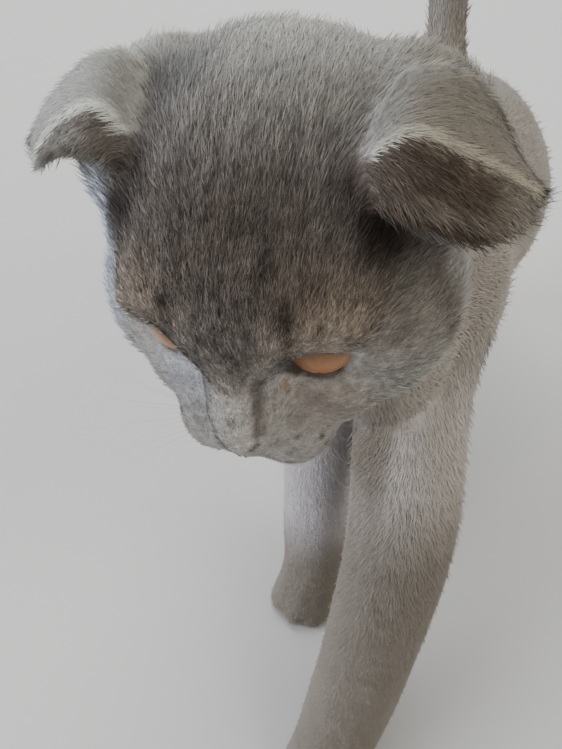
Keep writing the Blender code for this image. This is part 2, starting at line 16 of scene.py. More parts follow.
import bmesh
import bpy
import numpy as np
from mathutils import Matrix, Vector
from mathutils.bvhtree import BVHTree
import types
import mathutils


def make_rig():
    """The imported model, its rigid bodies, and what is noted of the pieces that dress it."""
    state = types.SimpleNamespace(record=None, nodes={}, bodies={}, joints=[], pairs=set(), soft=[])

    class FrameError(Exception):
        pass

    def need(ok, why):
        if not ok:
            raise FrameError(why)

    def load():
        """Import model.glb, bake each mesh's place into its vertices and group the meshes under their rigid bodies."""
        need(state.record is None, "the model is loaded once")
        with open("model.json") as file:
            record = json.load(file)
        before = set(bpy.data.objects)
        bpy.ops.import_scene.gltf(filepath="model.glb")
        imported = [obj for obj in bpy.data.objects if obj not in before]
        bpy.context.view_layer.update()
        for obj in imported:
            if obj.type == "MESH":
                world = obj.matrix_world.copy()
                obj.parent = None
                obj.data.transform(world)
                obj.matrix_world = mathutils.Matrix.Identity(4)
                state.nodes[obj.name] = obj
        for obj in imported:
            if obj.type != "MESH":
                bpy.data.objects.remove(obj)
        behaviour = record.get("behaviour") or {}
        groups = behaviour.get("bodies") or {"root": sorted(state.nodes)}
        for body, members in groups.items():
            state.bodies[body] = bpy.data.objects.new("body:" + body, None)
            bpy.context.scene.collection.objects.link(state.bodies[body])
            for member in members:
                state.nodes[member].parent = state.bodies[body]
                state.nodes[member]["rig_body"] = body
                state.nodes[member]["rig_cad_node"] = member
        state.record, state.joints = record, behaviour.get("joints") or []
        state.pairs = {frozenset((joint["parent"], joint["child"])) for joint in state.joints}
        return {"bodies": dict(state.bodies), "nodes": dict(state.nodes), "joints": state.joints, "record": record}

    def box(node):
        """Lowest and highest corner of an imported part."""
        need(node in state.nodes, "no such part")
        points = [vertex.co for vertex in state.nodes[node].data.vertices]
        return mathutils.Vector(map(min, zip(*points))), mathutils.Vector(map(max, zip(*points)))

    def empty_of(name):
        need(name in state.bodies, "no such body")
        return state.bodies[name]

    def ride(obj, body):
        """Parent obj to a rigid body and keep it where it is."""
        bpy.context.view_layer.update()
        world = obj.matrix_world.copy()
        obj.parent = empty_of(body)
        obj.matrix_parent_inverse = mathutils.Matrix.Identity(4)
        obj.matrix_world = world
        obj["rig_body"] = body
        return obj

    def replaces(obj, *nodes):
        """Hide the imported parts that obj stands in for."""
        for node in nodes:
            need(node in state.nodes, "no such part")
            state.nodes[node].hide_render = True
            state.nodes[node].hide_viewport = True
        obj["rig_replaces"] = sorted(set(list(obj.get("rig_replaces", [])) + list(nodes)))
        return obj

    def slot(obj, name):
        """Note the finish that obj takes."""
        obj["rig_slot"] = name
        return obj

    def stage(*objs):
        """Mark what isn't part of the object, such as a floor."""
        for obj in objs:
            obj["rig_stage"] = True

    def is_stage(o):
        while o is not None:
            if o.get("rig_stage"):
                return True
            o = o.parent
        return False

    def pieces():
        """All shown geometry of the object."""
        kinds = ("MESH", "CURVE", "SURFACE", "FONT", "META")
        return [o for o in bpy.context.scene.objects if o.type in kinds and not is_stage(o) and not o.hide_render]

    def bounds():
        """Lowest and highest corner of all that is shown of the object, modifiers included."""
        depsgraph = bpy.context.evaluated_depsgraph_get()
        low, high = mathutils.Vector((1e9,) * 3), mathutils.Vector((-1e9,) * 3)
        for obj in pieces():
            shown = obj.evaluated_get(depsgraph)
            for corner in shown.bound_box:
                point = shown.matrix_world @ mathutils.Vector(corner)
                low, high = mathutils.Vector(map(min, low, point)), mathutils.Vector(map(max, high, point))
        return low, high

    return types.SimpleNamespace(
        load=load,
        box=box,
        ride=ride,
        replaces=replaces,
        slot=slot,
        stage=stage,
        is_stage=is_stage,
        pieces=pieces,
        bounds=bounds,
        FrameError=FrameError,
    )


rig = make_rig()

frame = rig.load()
CAD_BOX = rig.bounds()

logging.basicConfig(level=logging.INFO, format="%(levelname)s %(message)s")
log = logging.getLogger("cat")

CM = 0.01
MM = 0.001
FLESH = ("head", "neck", "torso", "tail_root", "tail_tip", "foreleg_left", "foreleg_right",
         "hindleg_left", "hindleg_right", "ear_left", "ear_right")
SIZE_NOTE = "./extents.json"

# How the head is carried, where the left eye sits in it, how its lids open, and the inner
# corner of the lids in the eye's own frame; then the tip and the leather of the nose
HEAD_BOW = 41.0
HEAD_TURN = 0.8
HEAD_PLACE = (-2.25, -25.7, 23.85)
EYE_PLACE = (1.85, -2.71, 0.70)
EYE_GAZE = (0.22, -1.0, 0.18)
EYE_SLANT = 12.0
EYE_RADIUS = 1.05
EYE_HALF_WIDTH = 0.92
EYE_OPEN_ABOVE = 0.66
EYE_OPEN_BELOW = 0.70
EYE_CORNER = (1.04, -0.08, 0.40)
NOSE_TIP = (0.0, -6.05, -1.35)
LEATHER_PLACE = (0.0, -5.9, -1.52)
LEATHER_HALF = (0.50, 0.7, 0.38)
HEAD_MIDDLE = (0.0, 0.5, 1.5)

# Height in metres under which the feet have bare soles
SOLE_HIGH = 0.0012

# The fold of each ear and the free edge of its flap, from the crown outwards (left side)
EAR_CREASE = {
    "left": ((2.66, -0.07, 4.20), (2.81, 0.03, 4.33), (3.08, 0.17, 4.52), (3.45, 0.28, 4.60),
             (3.81, 0.26, 4.55), (4.20, 0.20, 4.39), (4.80, 0.13, 4.03), (5.44, 0.18, 3.53),
             (5.90, 0.26, 3.11), (6.25, 0.37, 2.80)),
    "right": ((2.69, 0.09, 4.16), (2.84, 0.30, 4.37), (3.09, 0.42, 4.55), (3.37, 0.42, 4.62),
              (3.68, 0.38, 4.56), (4.11, 0.31, 4.40), (4.51, 0.21, 4.16), (5.02, 0.09, 3.78),
              (5.74, 0.09, 3.10), (6.20, 0.20, 2.70)),
}
EAR_EDGE = {
    "left": ((2.75, -0.8, 3.6), (3.8, -1.3, 3.7), (5.05, -1.3, 3.2), (6.1, -0.25, 2.25)),
    "right": ((2.8, -0.55, 3.6), (3.8, -0.45, 3.95), (5.1, -0.35, 3.3), (6.25, 0.05, 2.2)),
}


class Side(Enum):
    """The two sides of the animal."""

    LEFT = 1.0
    RIGHT = -1.0

    @property
    def word(self) -> str:
        """The side's name as the nodes have it."""
        return self.name.lower()


def rotation(degrees: float, axis: str) -> Matrix:
    """A turn about an axis, as a 4 by 4 matrix."""
    return Matrix.Rotation(math.radians(degrees), 4, axis)


def unit(vectors: np.ndarray) -> np.ndarray:
    """The same directions, each one long."""
    return vectors / np.maximum(np.linalg.norm(vectors, axis=-1, keepdims=True), 1e-12)


def rise(low: float, high: float, value: np.ndarray) -> np.ndarray:
    """0 below low, 1 above high, and a smooth rise between.

    Args:
        low: Where the rise begins.
        high: Where it ends.
        value: Numbers to weigh.

    Returns:
        Weights from 0 to 1.
    """
    t = np.clip((value - low) / (high - low), 0.0, 1.0)
    return t * t * (3.0 - 2.0 * t)


def within(spans: tuple, *values: np.ndarray) -> np.ndarray:
    """The product of one rise for each span and its own values."""
    return np.prod([rise(*span, value) for span, value in zip(spans, values)], axis=0)


def on_left(points: np.ndarray) -> np.ndarray:
    """Places with the right side's laid over on the left."""
    return np.column_stack([np.abs(points[:, 0]), points[:, 1:]])


def scale_colour(colour: np.ndarray, factor: tuple, weight: np.ndarray) -> None:
    """Multiply colours by a factor, as far as each place's weight says.

    Args:
        colour: Colours, one to a row, changed in place.
        factor: What full weight does to red, green and blue.
        weight: 0 to 1 for each place.
    """
    colour *= 1.0 + (np.array(factor) - 1.0) * weight[:, None]


def eye_corner(side: Side) -> np.ndarray:
    """The inner corner of an eye's lids, in the eye's frame."""
    return np.array([-side.value * EYE_CORNER[0], *EYE_CORNER[1:]])


def off_line(points: np.ndarray, line: tuple) -> np.ndarray:
    """The way to each place from the nearest point of a line.

    Args:
        points: Places, one to a row.
        line: The line's points in order.

    Returns:
        One vector for each place.
    """
    nearest = np.full(points.shape, 1e3)
    for start, end in zip(line, line[1:]):
        start = np.array(start)
        span = np.array(end) - start
        share = np.clip((points - start) @ span / (span @ span), 0.0, 1.0)
        off = points - start - share[:, None] * span
        closer = np.linalg.norm(off, axis=1) < np.linalg.norm(nearest, axis=1)
        nearest[closer] = off[closer]
    return nearest


def to_line(points: np.ndarray, line: tuple) -> np.ndarray:
    """Distance from each place to a line of points."""
    return np.linalg.norm(off_line(points, line), axis=1)


def value_noise(points: np.ndarray, grain: float, seed: int) -> np.ndarray:
    """Smooth random values over space.

    Args:
        points: Places, one to a row.
        grain: Distance over which the values change, in the places' unit.
        seed: Chooses the pattern.

    Returns:
        One value from -1 to 1 for each place.
    """
    scaled = points / grain + 1000.0
    cell = np.floor(scaled).astype(np.int64)
    t = scaled - cell
    t = t * t * (3.0 - 2.0 * t)
    total = np.zeros(len(points))
    for corner in range(8):
        step = np.array([corner & 1, corner >> 1 & 1, corner >> 2 & 1])
        at = cell + step
        mixed = at[:, 0] * 73856093 ^ at[:, 1] * 19349663 ^ at[:, 2] * 83492791 ^ seed * 2654435
        mixed = (mixed ^ mixed >> 13) * 1274126177 & 0x7FFFFFFF
        weight = np.prod(np.where(step == 1, t, 1.0 - t), axis=1)
        total += weight * (mixed % 65536) / 32767.5
    return total - 1.0


@dataclass
class Frames:
    """Where the head's frame and the body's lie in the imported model."""

    head: Matrix = field(init=False)
    body: Matrix = field(init=False)

    def __post_init__(self) -> None:
        """Anchor both frames on the left eyeball's node."""
        low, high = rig.box("eye_left")
        turned = rotation(HEAD_TURN, "Z") @ rotation(HEAD_BOW, "X")
        origin = (low + high) / 2.0 - turned.to_3x3() @ (Vector(EYE_PLACE) * CM)
        self.head = Matrix.Translation(origin) @ turned
        self.body = Matrix.Translation(origin - Vector(HEAD_PLACE) * CM)

    def to_head(self, points: np.ndarray) -> np.ndarray:
        """Places in the head's frame, in centimetres."""
        return self._within(self.head, points)

    def to_body(self, points: np.ndarray) -> np.ndarray:
        """Places in the body's frame, in centimetres."""
        return self._within(self.body, points)

    def to_eye(self, side: Side, points: np.ndarray) -> np.ndarray:
        """Places in an eye's own frame, in centimetres."""
        return self._within(self.eye(side), points)

    def eye(self, side: Side) -> Matrix:
        """An eye's own frame, +Z out of the eye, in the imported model.

        Args:
            side: Which eye.

        Returns:
            The frame's matrix.
        """
        turn = Vector(EYE_GAZE).normalized().to_track_quat("Z", "Y").to_matrix().to_4x4()
        place = Matrix.Translation(Vector(EYE_PLACE) * CM) @ turn @ rotation(-EYE_SLANT, "Z")
        if side is Side.RIGHT:
            flip = Matrix.Diagonal((-1.0, 1.0, 1.0, 1.0))
            place = flip @ place @ flip
        return self.head @ place

    @staticmethod
    def _within(matrix: Matrix, points: np.ndarray) -> np.ndarray:
        """Places in a frame, in centimetres."""
        back = np.array(matrix.inverted())
        return (points @ back[:3, :3].T + back[:3, 3]) / CM


class Wire:
    """A shader socket that takes part in arithmetic."""

    def __init__(self, graph: "Graph", socket: bpy.types.NodeSocket) -> None:
        """Keep the socket and the graph that it belongs to."""
        self.graph = graph
        self.socket = socket

    def _math(self, operation: str, *terms: "Wire | float") -> "Wire":
        """One Math node over the terms."""
        return self.graph.node("ShaderNodeMath", {"operation": operation}, *terms)

    def __add__(self, other: "Wire | float") -> "Wire":
        """The sum."""
        return self._math("ADD", self, other)

    def __sub__(self, other: "Wire | float") -> "Wire":
        """The difference."""
        return self._math("SUBTRACT", self, other)

    def __rsub__(self, other: "Wire | float") -> "Wire":
        """The difference, taken from the other."""
        return self._math("SUBTRACT", other, self)

    def __mul__(self, other: "Wire | float") -> "Wire":
        """The product."""
        return self._math("MULTIPLY", self, other)

    def __truediv__(self, other: "Wire | float") -> "Wire":
        """The quotient."""
        return self._math("DIVIDE", self, other)

    def __pow__(self, other: "Wire | float") -> "Wire":
        """The power."""
        return self._math("POWER", self, other)

    __radd__ = __add__
    __rmul__ = __mul__

    def ramp(self, low: float, high: float) -> "Wire":
        """0 below low, 1 above high, smooth between."""
        kind = {"interpolation_type": "SMOOTHSTEP"}
        return self.graph.node("ShaderNodeMapRange", kind, self, low, high)


class Graph:
    """The node tree of one material, built around its Principled shader."""

    def __init__(self, name: str) -> None:
        """Start a material with nodes.

        Args:
            name: The material's name.
        """
        self.material = bpy.data.materials.new(name)
        self.material.use_nodes = True
        self.tree = self.material.node_tree
        self.shader = self.tree.nodes["Principled BSDF"]

    def node(self, kind: str, settings: dict, *inputs: object, output: int = 0) -> Wire:
        """Add one node.

        Args:
            kind: The node's type.
            settings: Its properties, set before its sockets.
            inputs: Values or wires for its sockets in order; None leaves one alone.
            output: Which output to return.

        Returns:
            The output as a wire.
        """
        made = self.tree.nodes.new(kind)
        for key, value in settings.items():
            setattr(made, key, value)
        free = [socket for socket in made.inputs if socket.enabled]
        for socket, value in zip(free, inputs):
            if isinstance(value, Wire):
                self.tree.links.new(value.socket, socket)
            elif value is not None:
                socket.default_value = value
        return Wire(self, [socket for socket in made.outputs if socket.enabled][output])

    def place(self) -> Wire:
        """Object coordinates."""
        return self.node("ShaderNodeTexCoord", {}, output=3)

    def attribute(self, name: str) -> Wire:
        """A colour stored on the mesh."""
        return self.node("ShaderNodeAttribute", {"attribute_name": name})

    def noise(self, where: Wire, scale: float, detail: float = 2.0) -> Wire:
        """Perlin noise, 0 to 1."""
        return self.node("ShaderNodeTexNoise", {}, where, scale, detail, 0.55)

    def mix(self, kind: str, factor: "Wire | float", first: object, second: object) -> Wire:
        """A Mix node over two colours."""
        settings = {"data_type": "RGBA", "blend_type": kind}
        return self.node("ShaderNodeMix", settings, factor, first, second)

    def feed(self, socket: str, value: object) -> None:
        """Link a wire to the shader, or set its socket.

        Args:
            socket: The socket's name.
            value: A wire, or a value for the whole surface.
        """
        if isinstance(value, Wire):
            self.tree.links.new(value.socket, self.shader.inputs[socket])
        else:
            self.shader.inputs[socket].default_value = value

    def bump(self, height: Wire, strength: float, distance: float) -> None:
        """Relief on the shader's normal.

        Args:
            height: The height, 0 to 1.
            strength: How strong it is.
            distance: Its full height in metres.
        """
        normal = self.node("ShaderNodeBump", {}, strength, distance)
        self.tree.links.new(height.socket, normal.socket.node.inputs["Height"])
        self.feed("Normal", normal)


@dataclass(frozen=True)
class CoatFinish:
    """Fur, or the skin under it: the markings with painted light and shade stored on the mesh, with a fine grain."""

    name: str
    roughness: float = 0.85
    gloss: float = 0.25
    sheen: float = 0.20
    sheen_roughness: float = 0.42
    sheen_tint: tuple = (0.92, 0.95, 1.0, 1.0)
    grain: float = 1300.0
    contrast: float = 0.26
    relief: float = 0.0

    def material(self) -> bpy.types.Material:
        """Build the material.

        Returns:
            The new material.
        """
        graph = Graph(self.name)
        fleck = graph.noise(graph.place(), self.grain)
        tone = fleck * self.contrast + (1.0 - 0.5 * self.contrast)
        shade = graph.node("ShaderNodeCombineColor", {}, tone, tone, tone)
        graph.feed("Base Color", graph.mix("MULTIPLY", 1.0, graph.attribute("marking"), shade))
        graph.feed("Roughness", self.roughness)
        graph.feed("Specular IOR Level", self.gloss)
        graph.feed("Sheen Weight", self.sheen)
        graph.feed("Sheen Roughness", self.sheen_roughness)
        graph.feed("Sheen Tint", self.sheen_tint)
        if self.relief > 0.0:
            graph.bump(fleck, 0.8, self.relief)
        return graph.material


@dataclass(frozen=True)
class LeatherFinish:
    """Bare skin: the nose and the rims of the lids."""

    name: str
    colour: tuple
    pale: tuple
    roughness: float = 0.45
    gloss: float = 0.5
    cell: float = 1300.0
    patch: float = 160.0
    patch_span: tuple = (0.35, 0.75)
    patch_rough: float = 0.2
    relief: float = 0.4 * MM

    def material(self) -> bpy.types.Material:
        """Build the material.

        Returns:
            The new material.
        """
        graph = Graph(self.name)
        where = graph.place()
        cells = graph.node("ShaderNodeTexVoronoi", {}, where, self.cell)
        patch = graph.noise(where, self.patch).ramp(*self.patch_span)
        graph.feed("Base Color", graph.mix("MIX", patch, self.colour, self.pale))
        graph.feed("Roughness", patch * self.patch_rough + self.roughness)
        graph.feed("Specular IOR Level", self.gloss)
        graph.bump(cells, 0.5, self.relief)
        return graph.material


@dataclass(frozen=True)
class EyeFinish:
    """A cat's eye: copper iris with darker edge and fibres, and an upright slit pupil."""

    name: str
    inner: tuple = (0.30, 0.135, 0.052, 1.0)
    outer: tuple = (0.16, 0.078, 0.036, 1.0)
    rim: tuple = (0.012, 0.010, 0.010, 1.0)
    pupil: tuple = (0.002, 0.002, 0.003, 1.0)
    iris_reach: float = 1.12
    pupil_half: tuple = (0.08, 0.30)
    fibre_stretch: tuple = (6.0, 1.2)
    fibre_scale: float = 3.4
    fibre_depth: float = 0.9
    fibre_relief: float = 0.3 * MM
    outer_span: tuple = (0.15, 1.0)
    rim_span: tuple = (0.90, 1.04)
    slit_span: tuple = (1.12, 0.92)
    roughness: float = 0.35
    gloss: float = 0.2
    cornea: float = 0.28
    cornea_roughness: float = 0.08

    def material(self) -> bpy.types.Material:
        """Build the material.

        Returns:
            The new material.
        """
        graph = Graph(self.name)
        polar = graph.node("ShaderNodeUVMap", {"uv_map": "gaze"})
        across = graph.node("ShaderNodeSeparateXYZ", {}, polar)
        up = graph.node("ShaderNodeSeparateXYZ", {}, polar, output=1)
        reach = (across * across + up * up) ** 0.5
        angle = graph.node("ShaderNodeMath", {"operation": "ARCTAN2"}, up, across)
        round_it, outward = self.fibre_stretch
        ring = graph.node("ShaderNodeCombineXYZ", {}, angle * round_it, reach * outward, 0.0)
        fibres = graph.noise(ring, self.fibre_scale, 4.0)
        toward = reach / self.iris_reach
        blend = (toward ** 2.0 + (fibres - 0.5) * self.fibre_depth).ramp(*self.outer_span)
        iris = graph.mix("MIX", blend, self.inner, self.outer)
        rimmed = graph.mix("MIX", toward.ramp(*self.rim_span), iris, self.rim)
        slit = ((across / self.pupil_half[0]) ** 2.0 + (up / self.pupil_half[1]) ** 2.0) ** 0.5
        in_slit = slit.ramp(*self.slit_span)
        graph.feed("Base Color", graph.mix("MIX", in_slit, rimmed, self.pupil))
        graph.feed("Roughness", self.roughness)
        graph.feed("Specular IOR Level", self.gloss)
        graph.feed("Coat Weight", self.cornea)
        graph.feed("Coat Roughness", self.cornea_roughness)
        graph.bump(fibres, 0.25, self.fibre_relief)
        return graph.material


@dataclass(frozen=True)
class PlainFinish:
    """One colour with a faint cloud in it."""

    name: str
    colour: tuple
    roughness: float
    cloud: float = 6.0
    depth: float = 0.06

    def material(self) -> bpy.types.Material:
        """Build the material.

        Returns:
            The new material.
        """
        graph = Graph(self.name)
        tone = graph.noise(graph.place(), self.cloud) * self.depth + (1.0 - 0.5 * self.depth)
        shade = graph.node("ShaderNodeCombineColor", {}, tone, tone, tone)
        graph.feed("Base Color", graph.mix("MULTIPLY", 1.0, self.colour, shade))
        graph.feed("Roughness", self.roughness)
        return graph.material


def deselect() -> None:
    """Nothing selected and nothing active."""
    for thing in bpy.context.selected_objects:
        thing.select_set(False)
    bpy.context.view_layer.objects.active = None


def take(*things: bpy.types.Object) -> None:
    """Select these alone, the first of them active.

    Args:
        things: What to select.
    """
    deselect()
    for thing in things:
        thing.select_set(True)
    bpy.context.view_layer.objects.active = things[0]


def add_modifier(thing: bpy.types.Object, kind: str, **settings: object) -> None:
    """Add a modifier with its settings and apply it.

    Args:
        thing: The piece, taken as the active object.
        kind: The modifier's type.
        settings: Its properties.
    """
    take(thing)
    modifier = thing.modifiers.new(kind.lower(), kind)
    for key, value in settings.items():
        setattr(modifier, key, value)
    bpy.ops.object.modifier_apply(modifier=modifier.name)


def mesh_object(name: str, places: np.ndarray, triangles: np.ndarray) -> bpy.types.Object:
    """A smooth-shaded object from arrays.

    Args:
        name: The piece's name.
        places: Vertices, in metres.
        triangles: Indices, three to a row.

    Returns:
        The new object, linked to the scene.
    """
    mesh = bpy.data.meshes.new(name)
    mesh.vertices.add(len(places))
    mesh.vertices.foreach_set("co", places.astype(np.float32).ravel())
    mesh.loops.add(triangles.size)
    mesh.loops.foreach_set("vertex_index", triangles.astype(np.int32).ravel())
    mesh.polygons.add(len(triangles))
    mesh.polygons.foreach_set("loop_start", np.arange(0, triangles.size, 3, dtype=np.int32))
    mesh.polygons.foreach_set("use_smooth", np.ones(len(triangles), dtype=bool))
    mesh.update(calc_edges=True)
    thing = bpy.data.objects.new(name, mesh)
    bpy.context.scene.collection.objects.link(thing)
    return thing


def new_ball(name: str, segments: int, rings: int, radius: float) -> bpy.types.Object:
    """A smooth-shaded ball to shape further.

    Args:
        name: The piece's name.
        segments: Faces round it.
        rings: Faces from pole to pole.
        radius: In metres.

    Returns:
        The new object.
    """
    deselect()
    bpy.ops.mesh.primitive_uv_sphere_add(segments=segments, ring_count=rings, radius=radius)
    ball = bpy.context.active_object
    ball.name = name
    ball.data.name = name
    for polygon in ball.data.polygons:
        polygon.use_smooth = True
    return ball


def tube_faces(start: int, sides: int, rings: int, closed: bool = False) -> list[tuple]:
    """The triangles of a tube between rings of vertices.

    Args:
        start: Index of the first ring's first vertex.
        sides: Vertices in a ring.
        rings: How many spans between rings there are.
        closed: Whether the last span ends on the first ring.

    Returns:
        Three corners for each triangle.
    """
    faces = []
    for i in range(rings):
        here = start + i * sides
        there = start if closed and i + 1 == rings else here + sides
        for k in range(sides):
            after = (k + 1) % sides
            faces += [(here + k, here + after, there + after), (here + k, there + after, there + k)]
    return faces


def in_world(matrix: Matrix, places: list[Vector]) -> np.ndarray:
    """Places in a frame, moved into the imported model's."""
    return np.array([matrix @ place for place in places])


def store_colour(mesh: bpy.types.Mesh, colours: np.ndarray) -> None:
    """Keep a colour at each vertex, for the material to read.

    Args:
        mesh: The mesh.
        colours: Red, green and blue, one row for each vertex.
    """
    layer = mesh.attributes.new("marking", "FLOAT_COLOR", "POINT")
    full = np.ones((len(colours), 4), dtype=np.float32)
    full[:, :3] = colours
    layer.data.foreach_set("color", full.ravel())


def vertex_places(mesh: bpy.types.Mesh) -> np.ndarray:
    """Where the vertices of a mesh are.

    Args:
        mesh: The mesh.

    Returns:
        Their places, one to a row.
    """
    places = np.empty(len(mesh.vertices) * 3)
    mesh.vertices.foreach_get("co", places)
    return places.reshape(-1, 3)


def vertex_normals(mesh: bpy.types.Mesh) -> np.ndarray:
    """Which way the surface faces at the vertices of a mesh.

    Args:
        mesh: The mesh.

    Returns:
        Their normals, one to a row.
    """
    normals = np.empty(len(mesh.vertices) * 3)
    mesh.vertex_normals.foreach_get("vector", normals)
    return normals.reshape(-1, 3)


def settle(piece: bpy.types.Object, slot: str, finish: bpy.types.Material,
           *replaced: str) -> None:
    """Dress a piece, set it on the body, and report it.

    Args:
        piece: The finished piece.
        slot: The record's material slot.
        finish: Its material.
        replaced: CAD nodes that it stands for.
    """
    piece.data.materials.clear()
    piece.data.materials.append(finish)
    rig.ride(piece, "root")
    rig.slot(piece, slot)
    if replaced:
        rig.replaces(piece, *replaced)
    log.info("%s: %d triangles", piece.name, sum(len(p.vertices) - 2 for p in piece.data.polygons))


@dataclass(frozen=True)
class Tone:
    """A soft-edged mark on the head, the coat's own colour in some and painted light and shade in others: a rounded
    form and what it does to the colour.
    """

    place: tuple
    half: tuple
    factor: tuple
    to: tuple | None = None
    both: bool = True
    edge: float = 0.5

    def weight(self, points: np.ndarray) -> np.ndarray:
        """How far the marking holds at each place.

        Args:
            points: Places in the head's frame.

        Returns:
            Weights from 0 to 1.
        """
        points = on_left(points) if self.both else points
        half = np.array(self.half)
        ends = [tuple(np.array(end) / half) for end in (self.place, self.to) if end is not None]
        away = to_line(points / half, (ends[0], tuple(np.array(ends[-1]) + 1e-6)))
        return 1.0 - rise(1.0 - self.edge, 1.0 + self.edge, away)


@dataclass(frozen=True)
class Grain:
    """A cloud of noise: its size, its pattern, its strength, and how it is stretched."""

    size: float
    seed: int
    strength: float
    stretch: tuple = (1.0, 1.0, 1.0)

    def at(self, points: np.ndarray) -> np.ndarray:
        """Its value at each place, up to its strength either way."""
        return self.strength * value_noise(points * np.array(self.stretch), self.size, self.seed)


@dataclass(frozen=True)
class Hair:
    """The coat of one kind of body part.

    Lengths and widths are in millimetres. A tuft's width is a share of its length and a
    least width more, and cover is how many tufts deep the coat lies.
    """

    length: float
    lift: float
    share: float
    least: float
    cover: float
    flow: tuple = (0.0, 1.0, 0.0)


HAIR = {
    "head": Hair(1.7, 12.0, 0.028, 0.048, 2.9),
    "ear": Hair(3.4, 9.0, 0.028, 0.048, 3.2),
    "neck": Hair(8.2, 10.0, 0.044, 0.085, 2.2, (0.0, 0.8, -0.6)),
    "torso": Hair(8.8, 14.0, 0.056, 0.13, 1.9, (0.0, 1.0, -0.35)),
    "foreleg": Hair(2.8, 10.0, 0.044, 0.085, 2.2, (0.0, 0.25, -1.0)),
    "hindleg": Hair(2.8, 14.0, 0.056, 0.13, 1.9, (0.0, 0.25, -1.0)),
    "tail": Hair(8.8, 14.0, 0.056, 0.13, 1.9, (0.0, 0.0, 1.0)),
}


